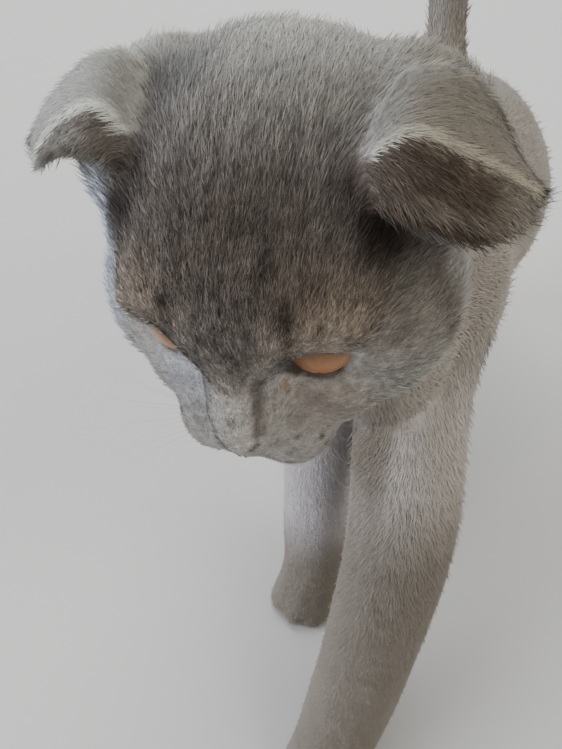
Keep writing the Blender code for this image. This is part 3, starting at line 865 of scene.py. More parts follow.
@dataclass
class CoatMap:
    """Length, lie and colour of the coat at any place on the animal.

    Pairs are where a change begins and where it ends, in centimetres, and triples are what
    the coat's marks and the painted light and shade do to red, green and blue.
    """

    frames: Frames

    # Where hair grows longer, from the nose, from the eyes, below the withers and up the
    # legs, and by how many millimetres
    face_grows: tuple = (0.8, 5.2)
    face_gain: float = 1.6
    cheek_grows: tuple = (6.0, 9.5)
    cheek_gain: float = 1.9
    lid_grows: tuple = (0.95, 2.4)
    lid_share: float = 0.38
    withers: float = 24.0
    belly_grows: tuple = (4.0, 14.0)
    belly_gain: float = 1.2
    leg_grows: tuple = (1.5, 12.0)
    leg_gain: float = 4.4
    flap_gain: float = 2.2
    fringe_loss: float = 1.8

    # Where it stands up more or less, and by how many degrees
    brow_stands: tuple = (3.5, 5.5)
    brow_lift: float = 3.0
    crown_lies: tuple = (7.5, 10.0)
    crown_drop: float = 4.0
    fringe_lift: float = 3.0

    # How it parts round the eyes and turns along the tail
    eye_swirl: float = 2.2
    eye_swirl_reach: float = 1.5
    tail_bends: tuple = ((30.0, 18.0), (32.0, 44.0))
    tail_leans: tuple = (0.75, 0.6)

    # The ears
    fringe_reach: tuple = (0.12, 0.06)
    flap_begins: tuple = (0.0, 0.14)
    flap_tilt: float = 0.3
    flap_faces: tuple = (-0.1, -0.5)
    ear_reach: tuple = (2.4, 1.8)
    hem_spans: tuple = ((0.30, 0.45), (0.85, 0.6), (3.1, 3.9))
    hem_pale: float = 0.35
    end_span: tuple = (4.9, 5.6)
    end_pale: float = 0.75
    edge_span: tuple = (0.4, 0.2)
    brim_spans: tuple = ((1.4, 1.9), (0.4, 1.0))
    fold_flow: tuple = (0.70, -0.55, -0.45)
    back_flow: tuple = (0.75, 0.15, 0.35)

    # Where the casts of trunk and tail, the painted light and shade on the head's sides and the forelegs,
    # the painted shade in the chest, the darker lower legs, the brow and the lids' dark rings begin and end
    trunk_span: tuple = (5.0, 10.0)
    tail_spans: tuple = ((24.0, 34.0), (0.0, 8.0))
    wide_spans: tuple = ((2.4, 3.8), (1.6, 3.2))
    low_span: tuple = (12.5, 6.5)
    shin_span: tuple = (2.0, 5.0)
    shoulder_spans: tuple = ((7.6, 11.6), (17.0, 13.0), (1.3, 2.1))
    hollow_spans: tuple = ((9.0, 11.0), (18.0, 14.0), (2.0, 0.8), (-12.0, -15.0))
    brow_spans: tuple = ((4.6, 3.0), (0.4, 1.8), (1.6, 0.2))
    face_span: tuple = (7.0, 5.0)
    lower_lid: float = 1.08
    ring_width: float = 0.12
    ring_span: tuple = (1.0, 0.6)
    corner_span: tuple = (0.30, 0.18)

    # Colours
    blue: tuple = (0.36, 0.345, 0.315)
    eye_shade: tuple = (0.20, 0.17, 0.16)
    # Painted shade on the ears' folded flaps, a painted highlight along their folds, a painted shadow at the flaps'
    # free edges and painted light on the ears' backs
    flap: tuple = (0.33, 0.275, 0.245)
    fringe: tuple = (1.75, 1.78, 1.70)
    ear_edge: tuple = (0.6, 0.6, 0.6)
    ear_brim: tuple = (1.5, 1.5, 1.5)
    body_cast: tuple = (0.84, 0.78, 0.72)
    tail_cast: tuple = (0.90, 0.97, 1.02)
    # Painted light on the right ear and the side of the head below it, painted shade on the left one
    ear_casts: tuple = ((1.28, 1.34, 1.34), (0.72, 0.67, 0.58))
    low_leg: tuple = (0.68, 0.67, 0.65)
    # Painted light on the right lower foreleg and the left upper foreleg, and painted shade in the dip of the chest
    shin: tuple = (2.45, 2.60, 3.20)
    shoulder: tuple = (1.60, 1.63, 1.72)
    hollow: tuple = (0.64, 0.61, 0.58)
    dot: tuple = (0.28, 0.28, 0.28)
    dot_reach: tuple = (0.16, 0.06)
    dots: tuple = ((1.45, -5.35, -0.95), (1.75, -5.15, -0.95), (2.05, -4.95, -1.0),
                   (1.35, -5.5, -1.3), (1.70, -5.35, -1.35), (2.05, -5.15, -1.35),
                   (1.30, -5.55, -1.7), (1.70, -5.45, -1.75), (2.10, -5.25, -1.75))
    tones: tuple = (
        # Forehead darker with painted shade; a darker patch on the crown before the right ear, painted shade in that
        # dip; and the crown behind, lighter with painted light from behind
        Tone((0.0, -2.0, 3.1), (3.9, 2.9, 2.3), (0.35, 0.30, 0.27), edge=0.75),
        Tone((-2.1, 1.7, 4.2), (0.9, 1.1, 0.9), (0.45, 0.46, 0.48), both=False, edge=0.8),
        Tone((-0.3, 2.9, 3.9), (2.0, 1.6, 1.2), (1.22, 1.26, 1.26), edge=0.8),
        # Edge of the right cheek, lighter and bluer with painted light; bases of the ears, the left temple and the
        # crease between the left cheek and the neck, darker with painted shade; and a painted shadow on the head under
        # each ear's flap
        Tone((-4.2, -1.8, 1.6), (0.7, 1.8, 2.4), (1.60, 1.78, 2.25), both=False, edge=0.6),
        Tone((2.65, -0.65, 3.9), (0.55, 0.55, 0.55), (0.42, 0.37, 0.35),
             to=(3.1, -0.9, 3.0), edge=0.8),
        Tone((3.8, -1.9, 1.4), (1.3, 1.4, 1.8), (0.74, 0.70, 0.66), both=False, edge=0.6),
        Tone((4.35, -0.7, 1.6), (0.45, 0.45, 0.45), (0.62, 0.58, 0.56),
             to=(5.0, -1.8, -0.7), both=False, edge=0.7),
        Tone((3.0, -1.4, 3.0), (0.5, 0.5, 0.5), (0.38, 0.34, 0.32), to=(4.6, -1.5, 2.4), edge=0.7),
        # Brows, the groove between brow and bridge, darkened with painted shade, and the inner corners of the eyes
        Tone((2.3, -3.2, 2.3), (1.3, 1.1, 1.0), (1.55, 1.42, 1.28), edge=0.7),
        Tone((1.42, -3.3, 2.95), (0.20, 0.20, 0.20), (0.38, 0.36, 0.35),
             to=(1.28, -3.95, 1.6), edge=0.7),
        Tone((1.50, -3.83, 1.77), (0.15, 0.15, 0.13), (0.10, 0.09, 0.09)),
        # Bridge of the nose: its top, its pale front, a spot and its left side, darkened with painted shade
        Tone((0.0, -4.3, 1.6), (0.9, 0.9, 0.9), (0.80, 0.74, 0.70), edge=0.7),
        Tone((0.0, -4.95, 0.75), (0.72, 0.72, 0.72), (1.35, 1.33, 1.32),
             to=(0.0, -5.6, -0.6), edge=0.4),
        Tone((-0.02, -5.45, 0.26), (0.13, 0.13, 0.14), (0.42, 0.40, 0.40), both=False),
        Tone((0.64, -4.10, 1.35), (0.21, 0.21, 0.21), (0.40, 0.37, 0.36),
             to=(0.66, -5.50, -0.20), both=False, edge=0.7),
        # Nostril corners, tear marks, pale line under the eyes, and the lips
        Tone((0.52, -5.75, -0.62), (0.10, 0.10, 0.10), (0.35, 0.30, 0.30),
             to=(0.30, -5.93, -0.78)),
        Tone((1.12, -4.17, 0.30), (0.10, 0.22, 0.22), (1.0, 0.78, 0.62)),
        Tone((1.45, -4.15, -0.06), (0.14, 0.14, 0.14), (1.35, 1.35, 1.35),
             to=(2.3, -3.95, -0.12)),
        Tone((0.0, -5.8, -2.2), (0.13, 0.8, 0.8), (0.35, 0.32, 0.32)),
        # Left side of the muzzle darker and browner with painted shade, right side lighter and bluer with painted
        # light
        Tone((2.1, -4.3, -0.3), (1.0, 0.9, 0.9), (0.80, 0.72, 0.66), both=False, edge=0.8),
        Tone((-1.7, -4.2, 0.2), (0.8, 1.0, 1.3), (1.05, 1.10, 1.25), both=False, edge=0.7),
    )

    # Noise on places in metres, and on places in the head's frame in centimetres
    cloud: Grain = Grain(0.02, 5, 0.05)
    dapple: Grain = Grain(0.006, 9, 0.04)
    brow_fleck: Grain = Grain(0.0011, 33, 0.34)
    face_fleck: Grain = Grain(0.0011, 33, 0.24)
    brow_streak: Grain = Grain(0.19, 31, 0.26, (1.0, 0.22, 0.22))
    face_strand: Grain = Grain(0.05, 37, 0.34, (1.0, 0.5, 0.5))
    flap_hairs: Grain = Grain(0.09, 35, 0.35, (0.5, 1.0, 0.6))

    # How far neighbouring tufts differ: everywhere, and more on brow, flaps and head
    speckles: tuple = (0.06, 0.14, 0.22, 0.18)

    def lengths(self, places: np.ndarray, region: np.ndarray) -> np.ndarray:
        """Length of the hair.

        Args:
            places: Surface places in metres.
            region: For each, the index of its node in FLESH.

        Returns:
            One length in metres for each place.
        """
        head = self.frames.to_head(places)
        high = self.frames.to_body(places)[:, 2]
        base = self.hair("length", region)
        from_nose = self._from_nose(head)
        face = base + self.face_gain * rise(*self.face_grows, from_nose)
        face += self.cheek_gain * rise(*self.cheek_grows, from_nose)
        face *= self.lid_share + (1.0 - self.lid_share) * rise(*self.lid_grows, self._to_eye(head))
        ear = base + self.flap_gain * self.on_flap(head, region)
        ear -= self.fringe_loss * self.on_fringe(head, region)
        leg = base + self.leg_gain * rise(*self.leg_grows, high)
        trunk = base + self.belly_gain * rise(*self.belly_grows, self.withers - high)
        kinds = [self.has(region, word) for word in ("head", "ear", "leg", "torso")]
        return np.select(kinds, [face, ear, leg, trunk], base) * MM

    def lifts(self, places: np.ndarray, region: np.ndarray) -> np.ndarray:
        """How far the hair stands up from the skin.

        Args:
            places: Surface places in metres.
            region: Index of each place's node in FLESH.

        Returns:
            Angles in degrees.
        """
        head = self.frames.to_head(places)
        base = self.hair("lift", region)
        from_nose = self._from_nose(head)
        plush = base + self.brow_lift * rise(*self.brow_stands, from_nose)
        plush -= self.crown_drop * rise(*self.crown_lies, from_nose)
        ear = base + self.fringe_lift * self.on_fringe(head, region)
        kinds = [self.has(region, word) for word in ("head", "ear")]
        return np.select(kinds, [plush, ear], base)

    def widths(self, length: np.ndarray, region: np.ndarray) -> np.ndarray:
        """A tuft's width for its length and region, in metres."""
        return self.hair("share", region) * length + self.hair("least", region) * MM

    @staticmethod
    def hair(value: str, region: np.ndarray) -> np.ndarray:
        """One value of the table of hair, for each place's node."""
        kinds = [next(kind for word, kind in HAIR.items() if word in name) for name in FLESH]
        return np.array([getattr(kind, value) for kind in kinds])[region]

    @staticmethod
    def has(region: np.ndarray, word: str) -> np.ndarray:
        """Which places lie on nodes with a word in their name."""
        held = np.array([word in name for name in FLESH])
        return held[region]

    @staticmethod
    def _from_nose(head: np.ndarray) -> np.ndarray:
        """Distance from the tip of the nose, in centimetres."""
        return np.linalg.norm(head - np.array(NOSE_TIP), axis=1)

    @staticmethod
    def _to_eye(head: np.ndarray) -> np.ndarray:
        """Distance from the nearer eye's centre, in centimetres."""
        return np.linalg.norm(on_left(head) - np.array(EYE_PLACE), axis=1)

    def _off_ear(self, head: np.ndarray, region: np.ndarray, lines: dict) -> np.ndarray:
        """The way from a line of the ear that a place lies on.

        Args:
            head: Places in the head's frame.
            region: Index of each place's node in FLESH.
            lines: The line of each ear, by the side's word.

        Returns:
            A vector for each place, long where it isn't on an ear.
        """
        off = np.full(head.shape, 9.0)
        for side in Side:
            own = self.has(region, "ear_" + side.word)
            off[own] = off_line(on_left(head)[own], lines[side.word])
        return off

    def on_fringe(self, head: np.ndarray, region: np.ndarray) -> np.ndarray:
        """How near a place is to the fold of its ear, 0 to 1."""
        off = self._off_ear(head, region, EAR_CREASE)
        return rise(*self.fringe_reach, np.linalg.norm(off, axis=1))

    def on_flap(self, head: np.ndarray, region: np.ndarray) -> np.ndarray:
        """How far a place lies on the folded flap of an ear, and not on its back.

        Args:
            head: Places in the head's frame.
            region: Index of each place's node in FLESH.

        Returns:
            Weights from 0 to 1.
        """
        off = self._off_ear(head, region, EAR_CREASE)
        before = rise(*self.flap_begins, -off[:, 1] - self.flap_tilt * off[:, 2])
        return before * rise(*self.ear_reach, np.linalg.norm(off, axis=1))

    def lie(self, places: np.ndarray, normals: np.ndarray, region: np.ndarray) -> np.ndarray:
        """The way the hair lies, in the surface.

        Args:
            places: Surface places in metres.
            normals: Outward normals there.
            region: Index of each place's node in FLESH.

        Returns:
            A unit vector for each place, square to its normal.
        """
        head = self.frames.to_head(places)
        high = self.frames.to_body(places)[:, 2]
        flow = self.hair("flow", region)
        bends = [lean * rise(*span, high) for lean, span in zip(self.tail_leans, self.tail_bends)]
        bend = bends[0] - bends[1]
        flow[:, 1] = np.where(self.has(region, "tail"), bend, flow[:, 1])
        turned = np.array(self.frames.head.to_3x3())
        own = self._lie_on_head(head, normals @ turned, region) @ turned.T
        above = self.has(region, "head") | self.has(region, "ear")
        flow = np.where(above[:, None], own, flow)
        flow -= normals * np.sum(flow * normals, axis=1, keepdims=True)
        return unit(flow)

    def _lie_on_head(self, head: np.ndarray, normals: np.ndarray,
                     region: np.ndarray) -> np.ndarray:
        """The way the hair lies on head and ears: off the nose, and round the eyes.

        Args:
            head: Places in the head's frame.
            normals: Outward normals in the head's frame.
            region: Index of each place's node in FLESH.

        Returns:
            A vector in the head's frame for each place.
        """
        side = np.where(head[:, :1] >= 0.0, 1.0, -1.0)
        mirror = np.hstack([side, np.ones_like(head[:, 1:])])
        away = unit(head * mirror - np.array(NOSE_TIP))
        from_eye = head * mirror - np.array(EYE_PLACE)
        far = np.linalg.norm(from_eye, axis=1, keepdims=True) / self.eye_swirl_reach
        away = unit(away + self.eye_swirl * np.exp(-far ** 2) * unit(from_eye))
        flap = rise(*self.flap_faces, normals[:, 1])[:, None]
        ear = flap * np.array(self.fold_flow) + (1.0 - flap) * np.array(self.back_flow)
        return np.where(self.has(region, "ear")[:, None], ear, away) * mirror

    def colours(self, places: np.ndarray, region: np.ndarray) -> np.ndarray:
        """The coat's colour, with painted light and shade.

        Args:
            places: Surface places in metres.
            region: Index of each place's node in FLESH.

        Returns:
            Linear red, green and blue for each place.
        """
        head = self.frames.to_head(places)
        body = self.frames.to_body(places)
        colour = np.tile(np.array(self.blue), (len(places), 1))
        on_head = self.has(region, "head")
        for tone in self.tones:
            scale_colour(colour, tone.factor, tone.weight(head) * on_head)
        scale_colour(colour, self.eye_shade, self._lid_shade(places) * on_head)
        for dot in self.dots:
            away = np.linalg.norm(on_left(head) - np.array(dot), axis=1)
            scale_colour(colour, self.dot, rise(*self.dot_reach, away) * on_head)
        self._stain_ears(colour, head, region)
        self._cast(colour, head, body)
        self._stain_legs(colour, body, region)
        return colour * (1.0 + self._mottle(places, head, region)[:, None])

    def _stain_ears(self, colour: np.ndarray, head: np.ndarray, region: np.ndarray) -> None:
        """Paint shade on the flaps, sparing their hems, a shadow at their edges, and light on the folds and the ears'
        backs.

        Args:
            colour: Colours so far, changed in place.
            head: Places in the head's frame.
            region: Index of each place's node in FLESH.
        """
        out = np.abs(head[:, 0])
        fringe = self.on_fringe(head, region)
        to_edge = np.linalg.norm(self._off_ear(head, region, EAR_EDGE), axis=1)
        # The flaps' painted shade is spared along their hems and towards the ears' outer ends
        hem = self.hem_pale * within(self.hem_spans, to_edge, to_edge, out)
        pale = np.maximum(self.end_pale * rise(*self.end_span, out), hem)
        # Painted shade on the flaps, and a painted highlight along the folds
        scale_colour(colour, self.flap, self.on_flap(head, region) * (1.0 - pale) * (1.0 - fringe))
        scale_colour(colour, self.fringe, fringe)
        # Painted shadow at the flaps' free edges
        scale_colour(colour, self.ear_edge, rise(*self.edge_span, to_edge))
        # Painted light on the ears' backs, behind the folds
        off = self._off_ear(head, region, EAR_CREASE)
        lit_back = within(self.brim_spans, np.linalg.norm(off, axis=1), off[:, 1])
        scale_colour(colour, self.ear_brim, lit_back * self.has(region, "ear"))

    def _cast(self, colour: np.ndarray, head: np.ndarray, body: np.ndarray) -> None:
        """Tint the trunk and the tail faintly, and paint light on the right ear and the side of the head below it, and
        shade on the left.

        Args:
            colour: Colours so far, changed in place.
            head: Places in the head's frame.
            body: The same places in the body's frame.
        """
        trunk = rise(*self.trunk_span, np.linalg.norm(head - np.array(HEAD_MIDDLE), axis=1))
        scale_colour(colour, self.body_cast, trunk)
        scale_colour(colour, self.tail_cast, within(self.tail_spans, body[:, 2], body[:, 1]))
        # Painted light on the right ear and the side of the head below it, painted shade on the left one
        wide = within(self.wide_spans, np.abs(head[:, 0]), head[:, 2]) * (1.0 - trunk)
        for sign, side_lighting in zip((-1.0, 1.0), self.ear_casts):
            scale_colour(colour, side_lighting, wide * (head[:, 0] * sign > 0.0))

    def _stain_legs(self, colour: np.ndarray, body: np.ndarray, region: np.ndarray) -> None:
        """Darken the lower legs, paint shade in the dip of the chest, and paint light on the right lower foreleg and
        the left upper foreleg.

        Args:
            colour: Colours so far, changed in place.
            body: Places in the body's frame.
            region: Index of each place's node in FLESH.
        """
        across, along, high = body.T
        left = self.has(region, "foreleg_left")
        low = rise(*self.low_span, high) * self.has(region, "leg")
        scale_colour(colour, self.low_leg, low)
        # Painted light on the right lower foreleg
        shin = rise(*self.shin_span, high) * low
        scale_colour(colour, self.shin, shin * self.has(region, "foreleg_right"))
        # Painted light on the left upper foreleg
        scale_colour(colour, self.shoulder, within(self.shoulder_spans, high, high, across) * left)
        # Painted shade in the dip of the chest between the forelegs
        hollow = within(self.hollow_spans, high, high, across, along)
        hollow *= left | self.has(region, "neck") | self.has(region, "torso")
        scale_colour(colour, self.hollow, hollow)

    def _lid_shade(self, places: np.ndarray) -> np.ndarray:
        """Dark bare skin round the opening of the lids, widest at the inner corner.

        Args:
            places: Surface places in metres.

        Returns:
            Weights from 0 to 1.
        """
        shade = np.zeros(len(places))
        for side in Side:
            local = self.frames.to_eye(side, places)
            opening = np.where(local[:, 1] > 0.0, EYE_OPEN_ABOVE, EYE_OPEN_BELOW)
            round_it = np.hypot(local[:, 0] / EYE_HALF_WIDTH, local[:, 1] / opening)
            reach = np.where(local[:, 1] > 0.0, 1.0, self.lower_lid)
            outer = local[:, 0] * side.value / EYE_HALF_WIDTH
            ring = (local[:, 2] > 0.2) * rise(reach + self.ring_width, reach, round_it)
            ring *= rise(*self.ring_span, outer)
            corner = np.linalg.norm(local - eye_corner(side), axis=1)
            shade = np.maximum(shade, np.maximum(ring, rise(*self.corner_span, corner)))
        return shade

    def _brow(self, head: np.ndarray, region: np.ndarray) -> np.ndarray:
        """How far a place lies on the speckled forehead, 0 to 1."""
        brow = within(self.brow_spans, np.abs(head[:, 0]), head[:, 2], head[:, 1])
        return brow * self.has(region, "head")

    def speckle(self, places: np.ndarray, region: np.ndarray) -> np.ndarray:
        """How far neighbouring tufts differ in brightness.

        Args:
            places: Surface places in metres.
            region: Index of each place's node in FLESH.

        Returns:
            One share for each place.
        """
        head = self.frames.to_head(places)
        everywhere, brow, flap, on_head = self.speckles
        return (everywhere + brow * self._brow(head, region) + flap * self.on_flap(head, region)
                + on_head * self.has(region, "head"))

    def _mottle(self, places: np.ndarray, head: np.ndarray, region: np.ndarray) -> np.ndarray:
        """Lighter and darker flecks, with streaks over the brow and hairs on the flaps.

        Args:
            places: Surface places in metres.
            head: The same places in the head's frame.
            region: Index of each place's node in FLESH.

        Returns:
            How far each place is lighter, or darker below 0.
        """
        face = rise(*self.face_span, self._from_nose(head)) * self.has(region, "head")
        brow = self.brow_streak.at(head) + self.brow_fleck.at(places)
        return (self.cloud.at(places) + self.dapple.at(places) + self._brow(head, region) * brow
                + face * (self.face_fleck.at(places) + self.face_strand.at(head))
                + self.flap_hairs.at(head) * self.on_flap(head, region))


@dataclass
class Skin:
    """One closed skin inside all the nodes of flesh."""

    frames: Frames
    coat: CoatMap
    voxel: float = 0.0017
    closing: float = 0.4 * MM
    eye_gap: float = 1.0 * MM
    triangles: int = 110000
    ear_depth: float = 1.0 * MM
    sole_reach: float = 1.5 * MM
    sole_share: float = 0.25
    shade: float = 0.96
    rounds: tuple = (10, 8, 6, 4)
    trunk_ease: int = 60
    limb_ease: int = 12
    off_head: tuple = (8.0, 11.0)
    trunk_spans: tuple = ((6.5, 9.5), (32.0, 26.0), (-16.0, -11.0))
    limb_span: tuple = (0.3, 0.9)
    relief: float = 0.6 * MM
    thing: bpy.types.Object = field(init=False)
    region: np.ndarray = field(init=False)
    length: np.ndarray = field(init=False)
    lift: np.ndarray = field(init=False)
    flow: np.ndarray = field(init=False)

    def build(self) -> None:
        """Fuse, thin, sink and unwrap the skin."""
        self._fuse()
        self._thin()
        mesh = self.thing.data
        self._ease()
        places = vertex_places(mesh)
        normals = vertex_normals(mesh)
        self.region = self._regions(places)
        length, lie, lift, sink = self.rounds
        self.length = self._soften(self.coat.lengths(places, self.region), length)
        flow = self._soften(self.coat.lie(places, normals, self.region), lie)
        self.lift = np.radians(self._soften(self.coat.lifts(places, self.region), lift))
        depth = self.length * np.sin(self.lift)
        ear = self.coat.has(self.region, "ear")
        depth[ear] = np.minimum(depth[ear], self.ear_depth)
        depth[places[:, 2] < self.sole_reach] *= self.sole_share
        depth = self._soften(depth, sink)
        places = places - normals * depth[:, None]
        mesh.vertices.foreach_set("co", places.ravel())
        mesh.update()
        normals = vertex_normals(mesh)
        self.flow = unit(flow - normals * np.sum(flow * normals, axis=1, keepdims=True))
        store_colour(mesh, self.coat.colours(places, self.region) * self.shade)
        self._unwrap()
        settle(self.thing, "coat", CoatFinish("skin", relief=self.relief).material(), *FLESH)

    def _fuse(self) -> None:
        """Copies of the flesh and of shrunken eyeballs, as one remeshed surface."""
        copies = []
        for name in FLESH + ("eye_left", "eye_right"):
            twin = frame["nodes"][name].copy()
            twin.data = twin.data.copy()
            twin.parent = None
            twin.name = "copy_" + name
            for key in list(twin.keys()):
                del twin[key]
            bpy.context.scene.collection.objects.link(twin)
            add_modifier(twin, "WELD", merge_threshold=1e-5)
            by = self.closing if "eye" not in name else -self.eye_gap
            add_modifier(twin, "DISPLACE", strength=by, mid_level=0.0)
            copies.append(twin)
        take(*copies)
        bpy.ops.object.join()
        self.thing = copies[0]
        self.thing.name = "skin"
        self.thing.data.name = "skin"
        add_modifier(self.thing, "REMESH", mode="VOXEL", voxel_size=self.voxel)
        add_modifier(self.thing, "SMOOTH", factor=0.5, iterations=4)

    def _thin(self) -> None:
        """Fewer triangles, kept where the form bends."""
        add_modifier(self.thing, "TRIANGULATE")
        ratio = self.triangles / len(self.thing.data.polygons)
        if ratio < 1.0:
            add_modifier(self.thing, "DECIMATE", ratio=ratio)
        self._mend()
        for polygon in self.thing.data.polygons:
            polygon.use_smooth = True

    def _mend(self) -> None:
        """Take out triangles that lie back to back on the same corners."""
        mesh = self.thing.data
        corners = np.array([polygon.vertices[:] for polygon in mesh.polygons])
        _, same, count = np.unique(np.sort(corners, axis=1), axis=0, return_inverse=True,
                                   return_counts=True)
        work = bmesh.new()
        work.from_mesh(mesh)
        work.faces.ensure_lookup_table()
        stray = [work.faces[i] for i in np.flatnonzero(count[same.ravel()] > 1)]
        bmesh.ops.delete(work, geom=stray, context="FACES")
        work.to_mesh(mesh)
        work.free()

    def _ease(self) -> None:
        """Soften the joins of neck, trunk, thighs and tail, and the limbs a little."""
        mesh = self.thing.data
        places = vertex_places(mesh)
        body = self.frames.to_body(places)
        off_head = rise(*self.off_head, np.linalg.norm(self.frames.to_head(places), axis=1))
        trunk = off_head * within(self.trunk_spans, body[:, 2], body[:, 2], body[:, 1])
        places += (self._soften(places, self.trunk_ease) - places) * trunk[:, None]
        limbs = off_head * rise(*self.limb_span, body[:, 2])
        places += (self._soften(places, self.limb_ease) - places) * limbs[:, None]
        mesh.vertices.foreach_set("co", places.ravel())
        mesh.update()

    def _regions(self, places: np.ndarray) -> np.ndarray:
        """Which node is nearest to each place.

        Args:
            places: Places in metres.

        Returns:
            The node's index in FLESH for each place.
        """
        points = []
        faces = []
        owner = []
        for index, name in enumerate(FLESH):
            mesh = frame["nodes"][name].data
            start = len(points)
            points.extend(vert.co[:] for vert in mesh.vertices)
            for polygon in mesh.polygons:
                faces.append([start + corner for corner in polygon.vertices])
                owner.append(index)
        tree = BVHTree.FromPolygons(points, faces)
        return np.array([owner[tree.find_nearest(place)[2]] for place in places.tolist()])

    def _soften(self, values: np.ndarray, rounds: int) -> np.ndarray:
        """Values at the vertices, averaged with their neighbours'.

        Args:
            values: One value or vector for each vertex.
            rounds: How many times.

        Returns:
            The softened values.
        """
        mesh = self.thing.data
        edges = np.empty(len(mesh.edges) * 2, dtype=np.int64)
        mesh.edges.foreach_get("vertices", edges)
        first, second = edges.reshape(-1, 2).T
        count = np.bincount(edges, minlength=len(mesh.vertices)).astype(float)
        flat = values.reshape(len(values), -1).copy()
        for _ in range(rounds):
            for column in range(flat.shape[1]):
                total = np.bincount(first, flat[second, column], len(count))
                total += np.bincount(second, flat[first, column], len(count))
                flat[:, column] = 0.4 * flat[:, column] + 0.6 * total / np.maximum(count, 1.0)
        return flat.reshape(values.shape)

    def _unwrap(self) -> None:
        """A UV map of the skin's own shape."""
        take(self.thing)
        self.thing.data.uv_layers.new(name="OFBake")
        bpy.ops.object.mode_set(mode="EDIT")
        bpy.ops.mesh.select_all(action="SELECT")
        bpy.ops.uv.smart_project(angle_limit=math.radians(66.0), island_margin=0.004)
        bpy.ops.object.mode_set(mode="OBJECT")

    def corners(self) -> tuple[np.ndarray, np.ndarray]:
        """What meets at the corners of every triangle.

        Returns:
            The corners' vertices, and their places on the map.
        """
        mesh = self.thing.data
        corners = np.empty(len(mesh.loops), dtype=np.int64)
        mesh.loops.foreach_get("vertex_index", corners)
        uv = np.empty(len(mesh.loops) * 2)
        mesh.uv_layers["OFBake"].data.foreach_get("uv", uv)
        return corners.reshape(-1, 3), uv.reshape(-1, 3, 2)


@dataclass
class Roots:
    """Where tufts grow: arrays with one row for each tuft."""

    place: np.ndarray
    normal: np.ndarray
    lie: np.ndarray
    length: np.ndarray
    width: np.ndarray
    lift: np.ndarray
    colour: np.ndarray
    uv: np.ndarray
    region: np.ndarray

    def pick(self, chosen: np.ndarray) -> "Roots":
        """Some of the tufts."""
        return Roots(*(getattr(self, name)[chosen] for name in self.__dataclass_fields__))

    def __len__(self) -> int:
        """How many tufts."""
        return len(self.place)


